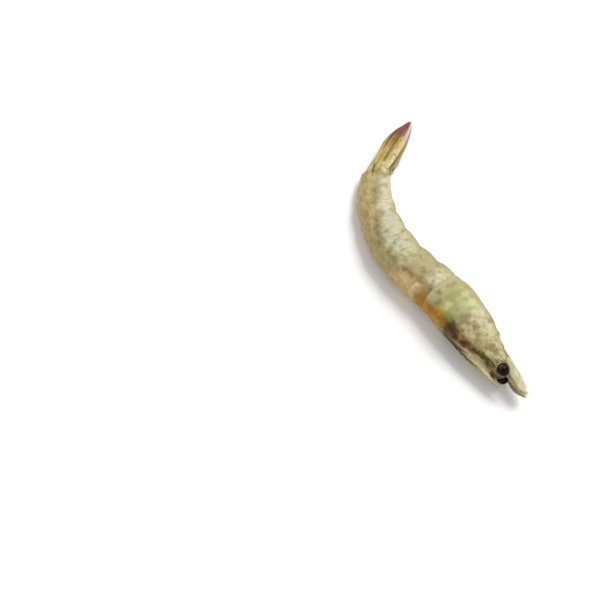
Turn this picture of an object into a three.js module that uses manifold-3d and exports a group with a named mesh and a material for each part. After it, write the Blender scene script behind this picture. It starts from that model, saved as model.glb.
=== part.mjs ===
// A whole raw prawn with its head on, lying on its right side on a flat surface.
// Every piece is first made on a straight prawn, in body space: x runs forward from the rear edge of the
// head shell, y runs from the back to the belly, and z runs to the prawn's left, which is up as it lies.
// bendPoint then carries each piece on to the curve of the prawn's back, where +X is the way the head
// points, +Y the belly's side and +Z up. All lengths are in millimetres and all angles in degrees.
import * as THREE from "three";
import { mergeVertices } from "three/addons/utils/BufferGeometryUtils.js";
import Module from "manifold-3d";

const wasm = await Module();
wasm.setup();

// Driving dimensions: a prawn of about 150 mm from the tip of the feeler scales to the tip of the tail.
const HEAD_LENGTH = 38.6; // rear edge of the head shell to the eye socket
const HEAD_HEADING = 18.6; // the way the head points, from +X towards +Y
const SOMITES = [
  // from front to back; curl is how far the ring turns in from the one before it
  { length: 8.5, curl: -6.4 },
  { length: 10.5, curl: 3 },
  { length: 12, curl: 7 },
  { length: 10.5, curl: 11 },
  { length: 9.5, curl: 10 },
  { length: 13.9, curl: 15 },
];
const TAIL_CURL = 22; // turn of the tail fan from the sixth ring
const TAIL_LENGTH = 30;
const GAP = 0.3; // clearance kept between neighbouring pieces
const SINK = 0.35; // how far the round side is flattened where it lies
const RAD = Math.PI / 180;

const lengthOf = (somites) => somites.reduce((sum, somite) => sum + somite.length, 0);
const ABDOMEN_LENGTH = lengthOf(SOMITES);
const LAST = SOMITES.length - 1;

// A smooth curve through a few [place, value] pairs, flat beyond its ends.
function profile(points) {
  const last = points.length - 1;
  const slope = points.map((_, i) => {
    const [a, b] = [points[Math.max(i - 1, 0)], points[Math.min(i + 1, last)]];
    return (b[1] - a[1]) / (b[0] - a[0]);
  });
  return (x) => {
    if (x <= points[0][0]) return points[0][1];
    if (x >= points[last][0]) return points[last][1];
    let i = 0;
    while (x > points[i + 1][0]) i++;
    const [x0, y0] = points[i];
    const [x1, y1] = points[i + 1];
    const w = x1 - x0;
    const t = (x - x0) / w;
    const [t2, t3] = [t * t, t * t * t];
    return (
      (2 * t3 - 3 * t2 + 1) * y0 +
      (t3 - 2 * t2 + t) * w * slope[i] +
      (3 * t2 - 2 * t3) * y1 +
      (t3 - t2) * w * slope[i + 1]
    );
  };
}

// The body's sizes along its length: back and belly edge from the middle line, half width, and the height
// of the middle line over the surface, which is lowest at the slim tail.
const backHeight = profile([[-65, 5.2], [-60, 6.8], [-51, 7.6], [-41, 7.9], [-30, 9.0], [-19, 9.3],
  [-8, 9.1], [0, 8.6], [10, 8.7], [17, 8.6], [23, 7.4], [28, 6.2], [34, 5.2], [39, 4.5]]);
const flapDepth = profile([[-65, 4.9], [-60, 5.6], [-51, 6.7], [-41, 7.1], [-30, 7.5], [-19, 7.8],
  [-8, 8.6], [0, 9.3]]);
const shellDepth = profile([[0, 9.2], [5, 10.0], [12, 9.7], [18, 8.8], [25, 7.4], [32, 5.7], [39, 3.9]]);
const halfWidth = profile([[-66, 4.2], [-60, 4.9], [-51, 5.8], [-40, 6.7], [-25, 7.6], [-8, 7.9],
  [0, 7.8], [12, 8.4], [24, 7.3], [39, 4.9]]);
const LYING = [-51, -40, -25, -8, 12]; // places where the side of the body lies on the surface
const restHeight = profile([[-97, 4.6], [-66, 4.6], ...LYING.map((x) => [x, halfWidth(x) - SINK]),
  [38, 7.4], [54, 6.8]]);

// The heading of the middle line: constant in the head, then turning in from ring to ring.
const headings = [[0, HEAD_HEADING]];
let ringFront = 0;
let ringHeading = HEAD_HEADING;
for (const somite of SOMITES) {
  ringHeading -= somite.curl;
  headings.unshift([ringFront - somite.length / 2, ringHeading]);
  ringFront -= somite.length;
}
headings.unshift([ringFront + 2, ringHeading - 3]);
headings.unshift([ringFront - 5, ringHeading - TAIL_CURL]);
const heading = profile(headings);

// Points of the middle line at even steps, added up from the rear end.
const LINE_START = -105;
const LINE_STEP = 0.25;
const LINE_COUNT = 680;
const line = [[0, 0]];
for (let i = 1; i < LINE_COUNT; i++) {
  const turn = heading(LINE_START + (i - 0.5) * LINE_STEP) * RAD;
  const [x, y] = line[i - 1];
  line.push([x + LINE_STEP * Math.cos(turn), y + LINE_STEP * Math.sin(turn)]);
}

// Carries a point of body space to its place on the curved, lying prawn.
function bendPoint(x, y, z) {
  const place = (x - LINE_START) / LINE_STEP;
  const i = Math.floor(place);
  const t = place - i;
  const turn = heading(x) * RAD;
  return [
    line[i][0] * (1 - t) + line[i + 1][0] * t - y * Math.sin(turn),
    line[i][1] * (1 - t) + line[i + 1][1] * t + y * Math.cos(turn),
    restHeight(x) + z,
  ];
}

// A closed mesh as a solid, whichever way round its faces were listed.
function solid(vertices, triangles) {
  let volume = 0;
  for (let i = 0; i < triangles.length; i += 3) {
    const [a, b, c] = [0, 1, 2].map((k) => new THREE.Vector3(...vertices[triangles[i + k]]));
    volume += a.dot(b.cross(c));
  }
  if (volume < 0) triangles.reverse();
  const vertProperties = new Float32Array(vertices.flat());
  const triVerts = new Uint32Array(triangles);
  return new wasm.Manifold(new wasm.Mesh({ numProp: 3, vertProperties, triVerts }));
}

function solidOfGeometry(geometry) {
  geometry.deleteAttribute("normal");
  geometry.deleteAttribute("uv");
  const merged = mergeVertices(geometry, 1e-4);
  const vertProperties = new Float32Array(merged.attributes.position.array);
  const triVerts = new Uint32Array(merged.index.array);
  return new wasm.Manifold(new wasm.Mesh({ numProp: 3, vertProperties, triVerts }));
}

// Rings of points joined to each other and closed at both ends by a fan round the end's centre.
function loft(rings, centres) {
  const n = rings[0].length;
  const vertices = [...rings.flat(), ...centres];
  const triangles = [];
  for (let i = 0; i + 1 < rings.length; i++)
    for (let j = 0; j < n; j++) {
      const [a, b] = [i * n + j, i * n + ((j + 1) % n)];
      triangles.push(a, b, b + n, a, b + n, a + n);
    }
  const [first, last] = [rings.length * n, rings.length * n + 1];
  const end = (rings.length - 1) * n;
  for (let j = 0; j < n; j++) {
    const k = (j + 1) % n;
    triangles.push(first, k, j, last, end + j, end + k);
  }
  return solid(vertices, triangles);
}

// A round limb through joints [x, y, z, radius].
function limb(joints, grow = 0, sides = 6) {
  const points = joints.map(([x, y, z]) => new THREE.Vector3(x, y, z));
  const last = points.length - 1;
  const outward = (end, next) => points[end].clone().sub(points[next]).setLength(grow);
  const [firstStep, lastStep] = [outward(0, 1), outward(last, last - 1)];
  points[0].add(firstStep);
  points[last].add(lastStep);
  const rings = [];
  let across = new THREE.Vector3(0, 0, 1);
  points.forEach((point, i) => {
    const ahead = points[Math.min(i + 1, last)];
    const behind = points[Math.max(i - 1, 0)];
    const along = ahead.clone().sub(behind).normalize();
    across = across.clone().addScaledVector(along, -across.dot(along)).normalize();
    const other = along.clone().cross(across);
    const radius = joints[i][3] + grow;
    rings.push(
      Array.from({ length: sides }, (_, j) => {
        const turn = (j / sides) * 2 * Math.PI;
        return point
          .clone()
          .addScaledVector(across, radius * Math.cos(turn))
          .addScaledVector(other, radius * Math.sin(turn))
          .toArray();
      }),
    );
  });
  return loft(rings, [points[0].toArray(), points[last].toArray()]);
}

// The joints of a limb, with a slimmer middle put in between each two.
function jointed(joints, waist = 0.82) {
  const out = [joints[0]];
  for (let i = 1; i < joints.length; i++) {
    const [a, b] = [joints[i - 1], joints[i]];
    out.push([0, 1, 2, 3].map((k) => ((a[k] + b[k]) / 2) * (k === 3 ? waist : 1)));
    out.push(b);
  }
  return out;
}

// A thin blade: place(u, v) is its middle surface, thickness(u, v) its thickness, u along and v across.
function blade(place, thickness, along, across, grow) {
  const STEP = 1e-3; // how far apart two points are taken for the direction of the surface
  const at = (u, v) => new THREE.Vector3(...place(u, v));
  const sides = [[], []];
  for (let i = 0; i <= along; i++)
    for (let j = 0; j <= across; j++) {
      const [u, v] = [i / along, (2 * j) / across - 1];
      const point = at(u, v);
      const alongStep = at(Math.min(u + STEP, 1), v).sub(at(u - STEP, v));
      const acrossStep = at(u, v + STEP).sub(at(u, v - STEP));
      const normal = alongStep.clone().cross(acrossStep).normalize();
      const half = thickness(u, v) / 2 + grow;
      point.addScaledVector(alongStep.normalize(), (2 * u - 1) * grow);
      point.addScaledVector(acrossStep.normalize(), v * grow);
      sides[0].push(point.clone().addScaledVector(normal, half).toArray());
      sides[1].push(point.clone().addScaledVector(normal, -half).toArray());
    }
  const row = across + 1;
  const count = sides[0].length;
  const triangles = [];
  for (let i = 0; i < along; i++)
    for (let j = 0; j < across; j++) {
      const a = i * row + j;
      const b = a + count;
      triangles.push(a, a + 1, a + row + 1, a, a + row + 1, a + row);
      triangles.push(b, b + row + 1, b + 1, b, b + row, b + row + 1);
    }
  const rim = [];
  for (let j = 0; j < across; j++) rim.push(j);
  for (let i = 0; i < along; i++) rim.push(i * row + across);
  for (let j = across; j > 0; j--) rim.push(along * row + j);
  for (let i = along; i > 0; i--) rim.push(i * row);
  rim.forEach((a, k) => {
    const b = rim[(k + 1) % rim.length];
    triangles.push(a, a + count, b + count, a, b + count, b);
  });
  return solid([...sides[0], ...sides[1]], triangles);
}

// One side of a cross section, from the middle of the back to the middle of the belly, as [y, z] pairs.
// The side plates hang below the belly as flaps.
function halfSection({ back, side, flap, belly }) {
  const points = [];
  const backSteps = 6;
  for (let i = 0; i <= backSteps; i++) {
    const turn = (i / backSteps) * 90 * RAD;
    points.push([-back * Math.cos(turn) ** 0.92, side * Math.sin(turn) ** 0.92]);
  }
  for (const q of [0.35, 0.62, 0.84]) points.push([flap * q, side * (1 - 0.16 * q * q)]);
  points.push([flap - 0.4, side * 0.84], [flap, side * 0.78], [flap - 0.5, side * 0.72]);
  points.push([belly + 0.15, side * 0.46], [belly, side * 0.24], [belly, 0]);
  return points;
}

// A full cross section, moved outwards by grow. way runs from 0 at the back to 1 at the belly.
function section(sizes, grow) {
  const left = halfSection(sizes);
  const last = left.length - 1;
  const ring = left.map(([y, z], i) => ({ y, z, way: i / last }));
  for (let i = last - 1; i > 0; i--) ring.push({ y: left[i][0], z: -left[i][1], way: i / last });
  return ring.map(({ y, z, way }, i) => {
    const [before, after] = [ring.at(i - 1), ring[(i + 1) % ring.length]];
    const [dy, dz] = [after.y - before.y, after.z - before.z];
    const share = grow / Math.hypot(dy, dz);
    return { y: y - dz * share, z: z + dy * share, way };
  });
}

// A body ring or shell: front(way) and rear(way) are its edges, sizes(x, t) its section a share t back.
function shell(front, rear, sizes, shares, grow) {
  const endGrow = 1.5 * grow; // the ends stand at a slant, so they move further along x
  const rings = shares.map((t) => {
    const middle = front(0.5) * (1 - t) + rear(0.5) * t;
    return section(sizes(middle, t), grow).map(({ y, z, way }) => [
      (front(way) + endGrow) * (1 - t) + (rear(way) - endGrow) * t, y, z,
    ]);
  });
  return loft(rings, [
    [front(0.5) + endGrow, 1.5, 0],
    [rear(0.5) - endGrow, 1.5, 0],
  ]);
}

const smooth = (t) => t * t * (3 - 2 * t);
const clamp01 = (t) => Math.min(Math.max(t, 0), 1);

// How far a ring's rear edge stands forward of its straight place, from the back round to the belly: it
// reaches back over the next ring on top, is drawn in at the hinge half way down, and bulges at its flap.
const edgeShape = profile([[0, -0.9], [0.25, -0.3], [0.5, 1.0], [0.72, -0.7], [0.82, -0.3], [1, 0.2]]);

const ringRear = SOMITES.map((_, k) => -lengthOf(SOMITES.slice(0, k + 1)));
// The rear edge of the head shell bulges back half way down and rounds forward at the bottom.
const headShellRear = profile([[0, 0.6], [0.4, -1.0], [0.62, -0.8], [0.78, 1.4], [1, 1.8]]);
const ringEdge = (k, way) => ringRear[k] + edgeShape(way) * (k === LAST ? 0.5 : 1);
const edge = (k) => (way) => (k < 0 ? headShellRear(way) : ringEdge(k, way));

const BELLY_SHARE = 0.66; // height of the belly between the side plates, as a share of the plates' depth
const LAST_BELLY_SHARE = 0.86;
const LAP = 0.5; // how far a ring's front starts inside the piece before it, which is then cut out of it

function somite(k, grow = 0) {
  const frontEdge = (way) => edge(k - 1)(way) + LAP;
  const sizes = (x, t) => {
    const swell = 0.95 + 0.075 * smooth(t); // slim where it tucks in, wider at its rear rim
    const lobe = k === LAST ? 1 : 1 - 0.17 * Math.abs(2 * clamp01(t + 0.08) - 1) ** 2.4;
    const flap = flapDepth(x) * swell * lobe;
    const share = k === LAST ? LAST_BELLY_SHARE : BELLY_SHARE;
    return {
      back: backHeight(x) * swell,
      side: halfWidth(x) * swell,
      flap,
      belly: Math.min(flapDepth(x) * share, flap - 1.1),
    };
  };
  return shell(frontEdge, edge(k), sizes, [0, 0.16, 0.38, 0.62, 0.84, 1], grow);
}

// The head shell's front edge: the beak's root on top, the notch of the eye socket, the spine below the
// eye, and a lower corner that slopes back.
const headShellFront = profile([[0, 1.2], [0.2, 0.4], [0.38, -1.6], [0.47, 1.8], [0.56, -0.4],
  [0.76, -4.5], [1, -4]]);

function headShell(grow = 0) {
  const frontEdge = (way) => HEAD_LENGTH + headShellFront(way);
  const sizes = (x, t) => {
    const rim = 1 + 0.03 * smooth(clamp01((t - 0.9) / 0.1));
    return {
      back: backHeight(x) * rim,
      side: halfWidth(x) * rim,
      flap: shellDepth(x) * rim,
      belly: shellDepth(x) * 0.84,
    };
  };
  const shares = [0, 0.08, 0.18, 0.28, 0.38, 0.48, 0.58, 0.68, 0.78, 0.88, 0.95, 1];
  return shell(frontEdge, edge(-1), sizes, shares, grow);
}

// The beak and its crest: a thin upright blade on the middle of the back, with saw teeth along its top.
const BEAK_START = 14;
const BEAK_TIP = 48.4;
const BEAK_TOP = profile([[14, 8.2], [19, 8.9], [24, 8.9], [29, 8.5], [34, 7.9], [40, 7.0], [48.4, 5.6]]);
const TOOTH_COUNT = 8;
const TOOTH_FIRST = 20.5;
const TOOTH_PITCH = 2.95;
const TOOTH_HEIGHT = 0.7;

function beakOutline() {
  const top = [[BEAK_START, -BEAK_TOP(BEAK_START)]];
  for (let i = 0; i < TOOTH_COUNT; i++) {
    const x = TOOTH_FIRST + i * TOOTH_PITCH;
    top.push([x, -BEAK_TOP(x) + 0.1]);
    top.push([x + TOOTH_PITCH * 0.86, -BEAK_TOP(x + TOOTH_PITCH) - TOOTH_HEIGHT]);
    top.push([x + TOOTH_PITCH * 0.9, -BEAK_TOP(x + TOOTH_PITCH) + 0.1]);
  }
  top.push([BEAK_TIP, -BEAK_TOP(BEAK_TIP)]);
  const under = [[46.4, -5.5], [46.0, -4.95], [44.2, -5.1], [43.8, -4.6], [39.5, -3.8], [37, -3.0],
    [BEAK_START, -3.0]];
  return new THREE.Shape([...top, ...under].map(([x, y]) => new THREE.Vector2(x, y)));
}

function beak(grow = 0) {
  const depth = 1.0 + 2 * grow;
  const plate = new THREE.ExtrudeGeometry(beakOutline(), { depth, bevelEnabled: false });
  plate.translate(0, 0, -depth / 2);
  return solidOfGeometry(plate);
}

// The eye: a round black cornea on a short stalk that stands out to the side under the beak.
const EYE = { x: 42.5, y: -1.8, z: 4.6, radius: 2.3 };

function eye(side, grow = 0) {
  const ball = new THREE.SphereGeometry(EYE.radius + grow, 12, 8);
  ball.scale(1.0, 1.05, 0.95);
  ball.translate(EYE.x, EYE.y, EYE.z * side);
  const stalk = limb([[39.0, -0.6, 2.2 * side, 1.1], [40.6, -1.2, 3.2 * side, 1.4],
    [42.1, -1.7, 4.2 * side, 1.6]], grow);
  return solidOfGeometry(ball).add(stalk);
}

// The feeler scale: a broad thin blade beside the mouth, straight and thick along its outer edge.
function feelerScale(side, grow = 0) {
  const middle = profile([[0, 3.0], [0.4, 1.8], [0.75, 1.0], [1, 0.8]]);
  const out = profile([[0, 3.4], [0.5, 3.3], [1, 1.9]]);
  const half = profile([[0, 1.2], [0.2, 2.1], [0.45, 2.5], [0.7, 2.0], [0.9, 1.0], [1, 0.35]]);
  const hollow = (u, v) => 0.35 * v * v + 0.4 * v * (1 - u);
  return blade(
    (u, v) => [39.2 + 15.0 * u, middle(u) + v * half(u), side * (out(u) - hollow(u, v))],
    (u, v) => (0.75 + 0.5 * (1 - u)) * (1 - 0.45 * v * v),
    8, 4, grow,
  );
}

// The small feeler: a jointed stem that ends in two short whips.
function smallFeeler(side, grow = 0) {
  const stem = limb(jointed([[39.0, 1.6, 1.5 * side, 1.1], [43.6, 1.1, 1.7 * side, 1.0],
    [47.6, 0.8, 1.8 * side, 0.8], [50.2, 0.7, 1.8 * side, 0.55]]), grow);
  const whip = (joints) => limb(joints.map(([x, y, z, radius]) => [x, y, z * side, radius]), grow, 5);
  const upper = whip([[49.6, 0.6, 1.7, 0.4], [52.2, 0.7, 1.2, 0.3], [54.8, 1.0, 0.9, 0.2]]);
  const lower = whip([[49.6, 0.8, 1.4, 0.4], [52.0, 1.4, 0.9, 0.3], [54.2, 2.1, 0.6, 0.2]]);
  return stem.add(upper).add(lower);
}

// The long feeler: a stout stem under the scale, and the root of its whip, which is snapped off.
function longFeeler(side, grow = 0) {
  return limb([[38.0, 3.6, 1.6 * side, 1.2], [40.5, 3.7, 1.8 * side, 1.15], [43.0, 3.4, 2.0 * side, 0.95],
    [44.2, 3.3, 2.0 * side, 0.55], [48.0, 2.9, 1.7 * side, 0.42], [52.0, 2.6, 1.2 * side, 0.32]], grow);
}

// The outer mouth leg, which lies forward under the head.
function mouthLeg(side, grow = 0) {
  return limb(jointed([[31.0, 5.0, 1.6 * side, 1.1], [33.0, 6.6, 1.7 * side, 1.0],
    [38.5, 5.9, 1.5 * side, 0.8], [43.5, 5.0, 1.2 * side, 0.6], [46.5, 4.2, 1.0 * side, 0.3]]), grow);
}

// The five pairs of walking legs, folded against the belly. hip is where each leaves the body; knee and
// tip are steps from it, forward and down from the lower edge of the head shell.
const LEGS = [
  { hip: 28, knee: [5.5, 0.3], tip: [-1.5, 0.7], claw: true },
  { hip: 23.5, knee: [5.8, 0.2], tip: [-2.5, 0.8], claw: true },
  { hip: 18.5, knee: [6.2, 0.3], tip: [-3.5, 1.2], claw: true },
  { hip: 13, knee: [6.0, 0.7], tip: [-4.5, 1.7], claw: false },
  { hip: 8, knee: [5.6, 1.1], tip: [-4.5, 1.5], claw: false },
];

function leg(k, side, grow = 0) {
  const { hip, knee, tip, claw } = LEGS[k];
  const below = (x, step) => shellDepth(x) + step;
  const kneeX = hip + knee[0];
  const tipX = hip + tip[0];
  const kneeY = below(kneeX, knee[1]);
  const tipY = below(tipX, tip[1]);
  const lane = 2.9 + 0.12 * k;
  const arm = limb(jointed([
    [hip, below(hip, -2.2), 2.2 * side, 1.25],
    [hip + 1.0, below(hip, -0.2), lane * side, 1.1],
    [kneeX, kneeY, (lane + 0.2) * side, 0.8],
  ]), grow);
  const wristX = kneeX - 1.6;
  const wristY = kneeY + 0.5;
  const outer = lane + 2.1;
  const fore = limb([
    [kneeX, kneeY, (lane + 0.1) * side, 0.8],
    [wristX + 0.6, wristY, (lane + 1.5) * side, 0.72],
    [wristX - 1.0, wristY, outer * side, 0.72],
    [(wristX + tipX) / 2, (wristY + tipY) / 2, (outer + 0.1) * side, claw ? 0.8 : 0.5],
    [tipX + 2.2, tipY, outer * side, claw ? 0.62 : 0.4],
    [tipX, tipY, (outer - 0.1) * side, 0.22],
  ], grow);
  return arm.add(fore);
}

// The five pairs of swimming legs: a stout base and a long paddle swept back along the belly.
function paddle(k, side, grow = 0) {
  const rootX = (k === 0 ? 0 : ringRear[k - 1]) - SOMITES[k].length * 0.42;
  const depth = flapDepth(rootX);
  const scale = 1 - 0.07 * k;
  const root = limb([
    [rootX, depth * 0.6, 2.5 * side, 1.5 * scale],
    [rootX - 1.2, depth * 0.8, 2.9 * side, 1.4 * scale],
    [rootX - 2.8, depth * 0.92, 3.1 * side, 1.0 * scale],
  ], grow);
  const length = 7.6 * scale;
  const startX = rootX - 2.2;
  const half = profile([[0, 0.7], [0.25, 1.2], [0.6, 1.4], [0.85, 1.0], [1, 0.35]]);
  const leaf = blade(
    (u, v) => {
      const x = startX - length * u;
      const y = flapDepth(x) * 0.94 + 0.2 * Math.sin(3 * u) + 0.25 * v;
      return [x, y, side * (3.1 + v * half(u) * scale)];
    },
    (u) => 0.9 - 0.35 * u,
    6, 4, grow,
  );
  return root.add(leaf);
}

// The tail spike: a long narrow roof that tapers to a sharp point.
function tailSpike(grow = 0) {
  const start = -ABDOMEN_LENGTH - 0.5;
  const length = 22;
  const rings = [0, 0.12, 0.35, 0.6, 0.82, 0.94, 1].map((u) => {
    const half = 2.9 * (1 - u) ** 0.7 + 0.25 + grow;
    const top = 4.6 - 0.7 * u + grow;
    const under = 2.9 + 0.3 * u - grow;
    const x = start - length * u + (u === 0 ? grow : u === 1 ? -grow : 0);
    const left = [[-(top + under) / 2 - 0.35, half * 0.62], [-under - 0.3, half], [-under, half * 0.8]];
    const right = left.map(([y, z]) => [y, -z]).reverse();
    return [[-top, 0], ...left, [-under - 0.15, 0], ...right].map(([y, z]) => [x, y, z]);
  });
  const centre = (ring) => [ring[0][0], (ring[0][1] + ring[4][1]) / 2, 0];
  return loft(rings, [centre(rings[0]), centre(rings[rings.length - 1])]);
}

// The stout root that carries the two tail blades of a side: [x, y, z, half height, half width] stations.
function tailRoot(side, grow = 0) {
  const sides = 8;
  const start = -ABDOMEN_LENGTH - 0.3;
  const stations = [[0, 1.1, 2.4, 3.2, 1.5], [-1.6, 0.9, 2.5, 3.6, 1.6], [-4, 0.7, 2.6, 3.5, 1.4],
    [-5.4, 0.8, 2.7, 2.8, 1.0]];
  const rings = stations.map(([x, y, z, halfHeight, halfWide], i) => {
    const push = i === 0 ? grow : i === stations.length - 1 ? -grow : 0;
    return Array.from({ length: sides }, (_, j) => {
      const turn = ((j + 0.5) / sides) * 2 * Math.PI;
      const across = (halfWide + grow) * Math.sin(turn);
      return [start + x + push, y + (halfHeight + grow) * Math.cos(turn), side * (z + across)];
    });
  });
  const centre = (i) => [rings[i][0][0], stations[i][1], side * stations[i][2]];
  return loft(rings, [centre(0), centre(stations.length - 1)]);
}

// A tail blade, folded back beside the spike. middle and out place its middle line, tilt turns its face.
function tailBlade({ start, length, width, middle, out, tilt, curve }, side, grow) {
  const half = profile([[0, 0.6], [0.12, 0.75], [0.35, 0.94], [0.6, 1.0], [0.8, 0.85], [0.92, 0.55],
    [1, 0.16]]);
  return blade(
    (u, v) => {
      const h = half(u) * width;
      return [
        -ABDOMEN_LENGTH - start - (length - start) * u,
        middle(u) + v * h * Math.cos(tilt * RAD),
        side * (out(u) + v * h * Math.sin(tilt * RAD) - curve * v * v * half(u)),
      ];
    },
    (u, v) => {
      const neck = 0.7 * (1 - smooth(clamp01(u / 0.2)));
      const rib = 0.25 * Math.exp(-((v * 4) ** 2)) * (1 - u);
      return (0.62 + neck + rib) * (1 - 0.4 * v * v);
    },
    10, 4, grow,
  );
}

const innerBlade = (side, grow = 0) => tailBlade({
  start: 4.6,
  length: TAIL_LENGTH - 3,
  width: 2.7,
  middle: profile([[0, -1.2], [0.5, -1.7], [1, -0.6]]),
  out: profile([[0, 2.8], [0.5, 2.5], [1, 1.3]]),
  tilt: -8,
  curve: 0.2,
}, side, grow);

const outerBlade = (side, grow = 0) => tailBlade({
  start: 3.4,
  length: TAIL_LENGTH,
  width: 3.3,
  middle: profile([[0, 1.0], [0.4, 0.9], [0.8, 0.7], [1, 1.3]]),
  out: profile([[0, 4.4], [0.4, 4.3], [1, 2.7]]),
  tilt: 2,
  curve: 0.7,
}, side, grow);

// The largest body of a solid, without the scraps that a cut can leave.
function mainBody(made) {
  const bodies = made.decompose();
  return bodies.reduce((best, body) => (body.volume() > best.volume() ? body : best));
}

// A piece with the room of its neighbours, and the clearance to them, cut out of it.
function clearOf(made, ...neighbours) {
  return mainBody(neighbours.reduce((rest, other) => rest.subtract(other), made));
}

const floor = new THREE.BoxGeometry(400, 400, 20);
floor.translate(0, 0, -10);
const floorSolid = solidOfGeometry(floor);

// Bends a solid of body space and flattens it where it reaches the surface it lies on.
function lay(made) {
  const mesh = made.getMesh();
  const vertices = [];
  for (let i = 0; i < mesh.numVert; i++)
    vertices.push(bendPoint(...mesh.vertProperties.subarray(i * mesh.numProp, i * mesh.numProp + 3)));
  const laid = mainBody(solid(vertices, Array.from(mesh.triVerts)).subtract(floorSolid)).getMesh();
  const positions = new Float32Array(laid.numVert * 3);
  for (let i = 0; i < laid.numVert; i++)
    positions.set(laid.vertProperties.subarray(i * laid.numProp, i * laid.numProp + 3), i * 3);
  return new THREE.BufferGeometry()
    .setAttribute("position", new THREE.BufferAttribute(positions, 3))
    .setIndex(new THREE.BufferAttribute(laid.triVerts, 1));
}

const wetShell = (color) => new THREE.MeshStandardMaterial({ color, roughness: 0.35, metalness: 0 });
const headMaterial = wetShell(0xa9a072);
const ringMaterial = wetShell(0xb9ad85);
const tailMaterial = wetShell(0xaf955e);
const legMaterial = wetShell(0xece1c6);
const scaleMaterial = wetShell(0xa6996e);
const eyeMaterial = wetShell(0x241405);

const prawn = new THREE.Group();
function add(name, made, material) {
  const mesh = new THREE.Mesh(lay(made), material);
  mesh.name = name;
  prawn.add(mesh);
}

const grownHead = headShell(GAP).add(beak(GAP));
const feelerRoom = headShell(2 * GAP).add(beak(GAP));
const grownRings = SOMITES.map((_, k) => somite(k, GAP));
const lastRing = grownRings[LAST];
add("head_shell", headShell().add(beak()), headMaterial);
SOMITES.forEach((_, k) => {
  const before = k === 0 ? grownHead : grownRings[k - 1];
  add(`body_ring_${k + 1}`, clearOf(somite(k), before), ringMaterial);
});
add("tail_spike", clearOf(tailSpike(), lastRing), tailMaterial);

for (const [label, side] of [["left", 1], ["right", -1]]) {
  const spike = tailSpike(2 * GAP);
  add(`tail_root_${label}`, clearOf(tailRoot(side), lastRing, spike), tailMaterial);
  const root = tailRoot(side, GAP);
  add(`tail_inner_blade_${label}`, clearOf(innerBlade(side), root, spike), tailMaterial);
  add(`tail_outer_blade_${label}`, clearOf(outerBlade(side), root, innerBlade(side, GAP)), tailMaterial);

  add(`eye_${label}`, clearOf(eye(side), grownHead), eyeMaterial);
  add(`small_feeler_${label}`, clearOf(smallFeeler(side), feelerRoom, eye(side, GAP)), scaleMaterial);
  add(`long_feeler_${label}`, clearOf(longFeeler(side), feelerRoom, smallFeeler(side, GAP)), legMaterial);
  const scaleNeighbours = [feelerRoom, eye(side, GAP), smallFeeler(side, GAP), longFeeler(side, GAP)];
  add(`feeler_scale_${label}`, clearOf(feelerScale(side), ...scaleNeighbours), scaleMaterial);
  const mouthNeighbours = [grownHead, longFeeler(side, GAP), feelerScale(side, GAP)];
  add(`mouth_leg_${label}`, clearOf(mouthLeg(side), ...mouthNeighbours), legMaterial);

  LEGS.forEach((_, k) => {
    const neighbours = [grownHead, grownRings[0], mouthLeg(side, GAP)];
    for (let other = 0; other < k; other++) neighbours.push(leg(other, side, GAP));
    add(`walking_leg_${k + 1}_${label}`, clearOf(leg(k, side), ...neighbours), legMaterial);
  });

  for (let k = 0; k < LAST; k++) {
    const neighbours = [...grownRings, leg(LEGS.length - 1, side, GAP)];
    if (k > 0) neighbours.push(paddle(k - 1, side, GAP));
    add(`swimming_leg_${k + 1}_${label}`, clearOf(paddle(k, side), ...neighbours), legMaterial);
  }
}

// The origin is in the middle of the prawn's outline, on the surface it lies on.
const box = new THREE.Box3().setFromObject(prawn);
const centre = box.getCenter(new THREE.Vector3());
prawn.position.set(-centre.x, -centre.y, -box.min.z);

export default prawn;
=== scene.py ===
import random
from math import copysign, cos, exp, hypot, pi, radians, sin, sqrt

import bmesh
import bpy
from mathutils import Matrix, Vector, noise as waves


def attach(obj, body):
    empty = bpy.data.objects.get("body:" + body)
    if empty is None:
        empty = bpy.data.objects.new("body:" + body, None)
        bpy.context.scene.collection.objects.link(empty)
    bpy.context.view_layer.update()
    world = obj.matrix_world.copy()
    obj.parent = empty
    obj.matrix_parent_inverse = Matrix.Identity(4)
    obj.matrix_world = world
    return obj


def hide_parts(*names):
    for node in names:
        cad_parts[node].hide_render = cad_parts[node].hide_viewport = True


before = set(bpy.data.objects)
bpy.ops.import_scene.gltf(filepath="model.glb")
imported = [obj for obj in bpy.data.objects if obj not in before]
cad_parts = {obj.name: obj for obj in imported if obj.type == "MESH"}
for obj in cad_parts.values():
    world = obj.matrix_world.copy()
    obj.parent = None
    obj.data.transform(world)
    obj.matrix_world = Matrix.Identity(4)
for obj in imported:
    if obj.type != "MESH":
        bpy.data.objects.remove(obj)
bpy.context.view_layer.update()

# Camera, floor and lights.
# The prawn is seen from behind its back and a little from its head, 60 degrees above the white surface
# that it lies on. A large soft panel stands over its belly side and a weaker one over its back, and a small
# one high up glints in its wet surface.
MM = 0.001
AIM = Vector((-2.2, -51.8, 0.0)) * MM
show = bpy.context.scene.collection.objects.link
AZIMUTH = radians(73.3)
ELEVATION = radians(60)
DISTANCE = 750 * MM
to_camera = Vector((
    sin(AZIMUTH) * cos(ELEVATION),
    -cos(AZIMUTH) * cos(ELEVATION),
    sin(ELEVATION),
))
camera_data = bpy.data.cameras.new("camera")
camera_data.sensor_width = 36
camera_data.lens = 112.5  # with it a pixel is about 0.4 mm
camera = bpy.data.objects.new("camera", camera_data)
camera.location = AIM + to_camera * DISTANCE
camera.rotation_euler = to_camera.to_track_quat("Z", "Y").to_euler()
show(camera)
bpy.context.scene.camera = camera

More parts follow.
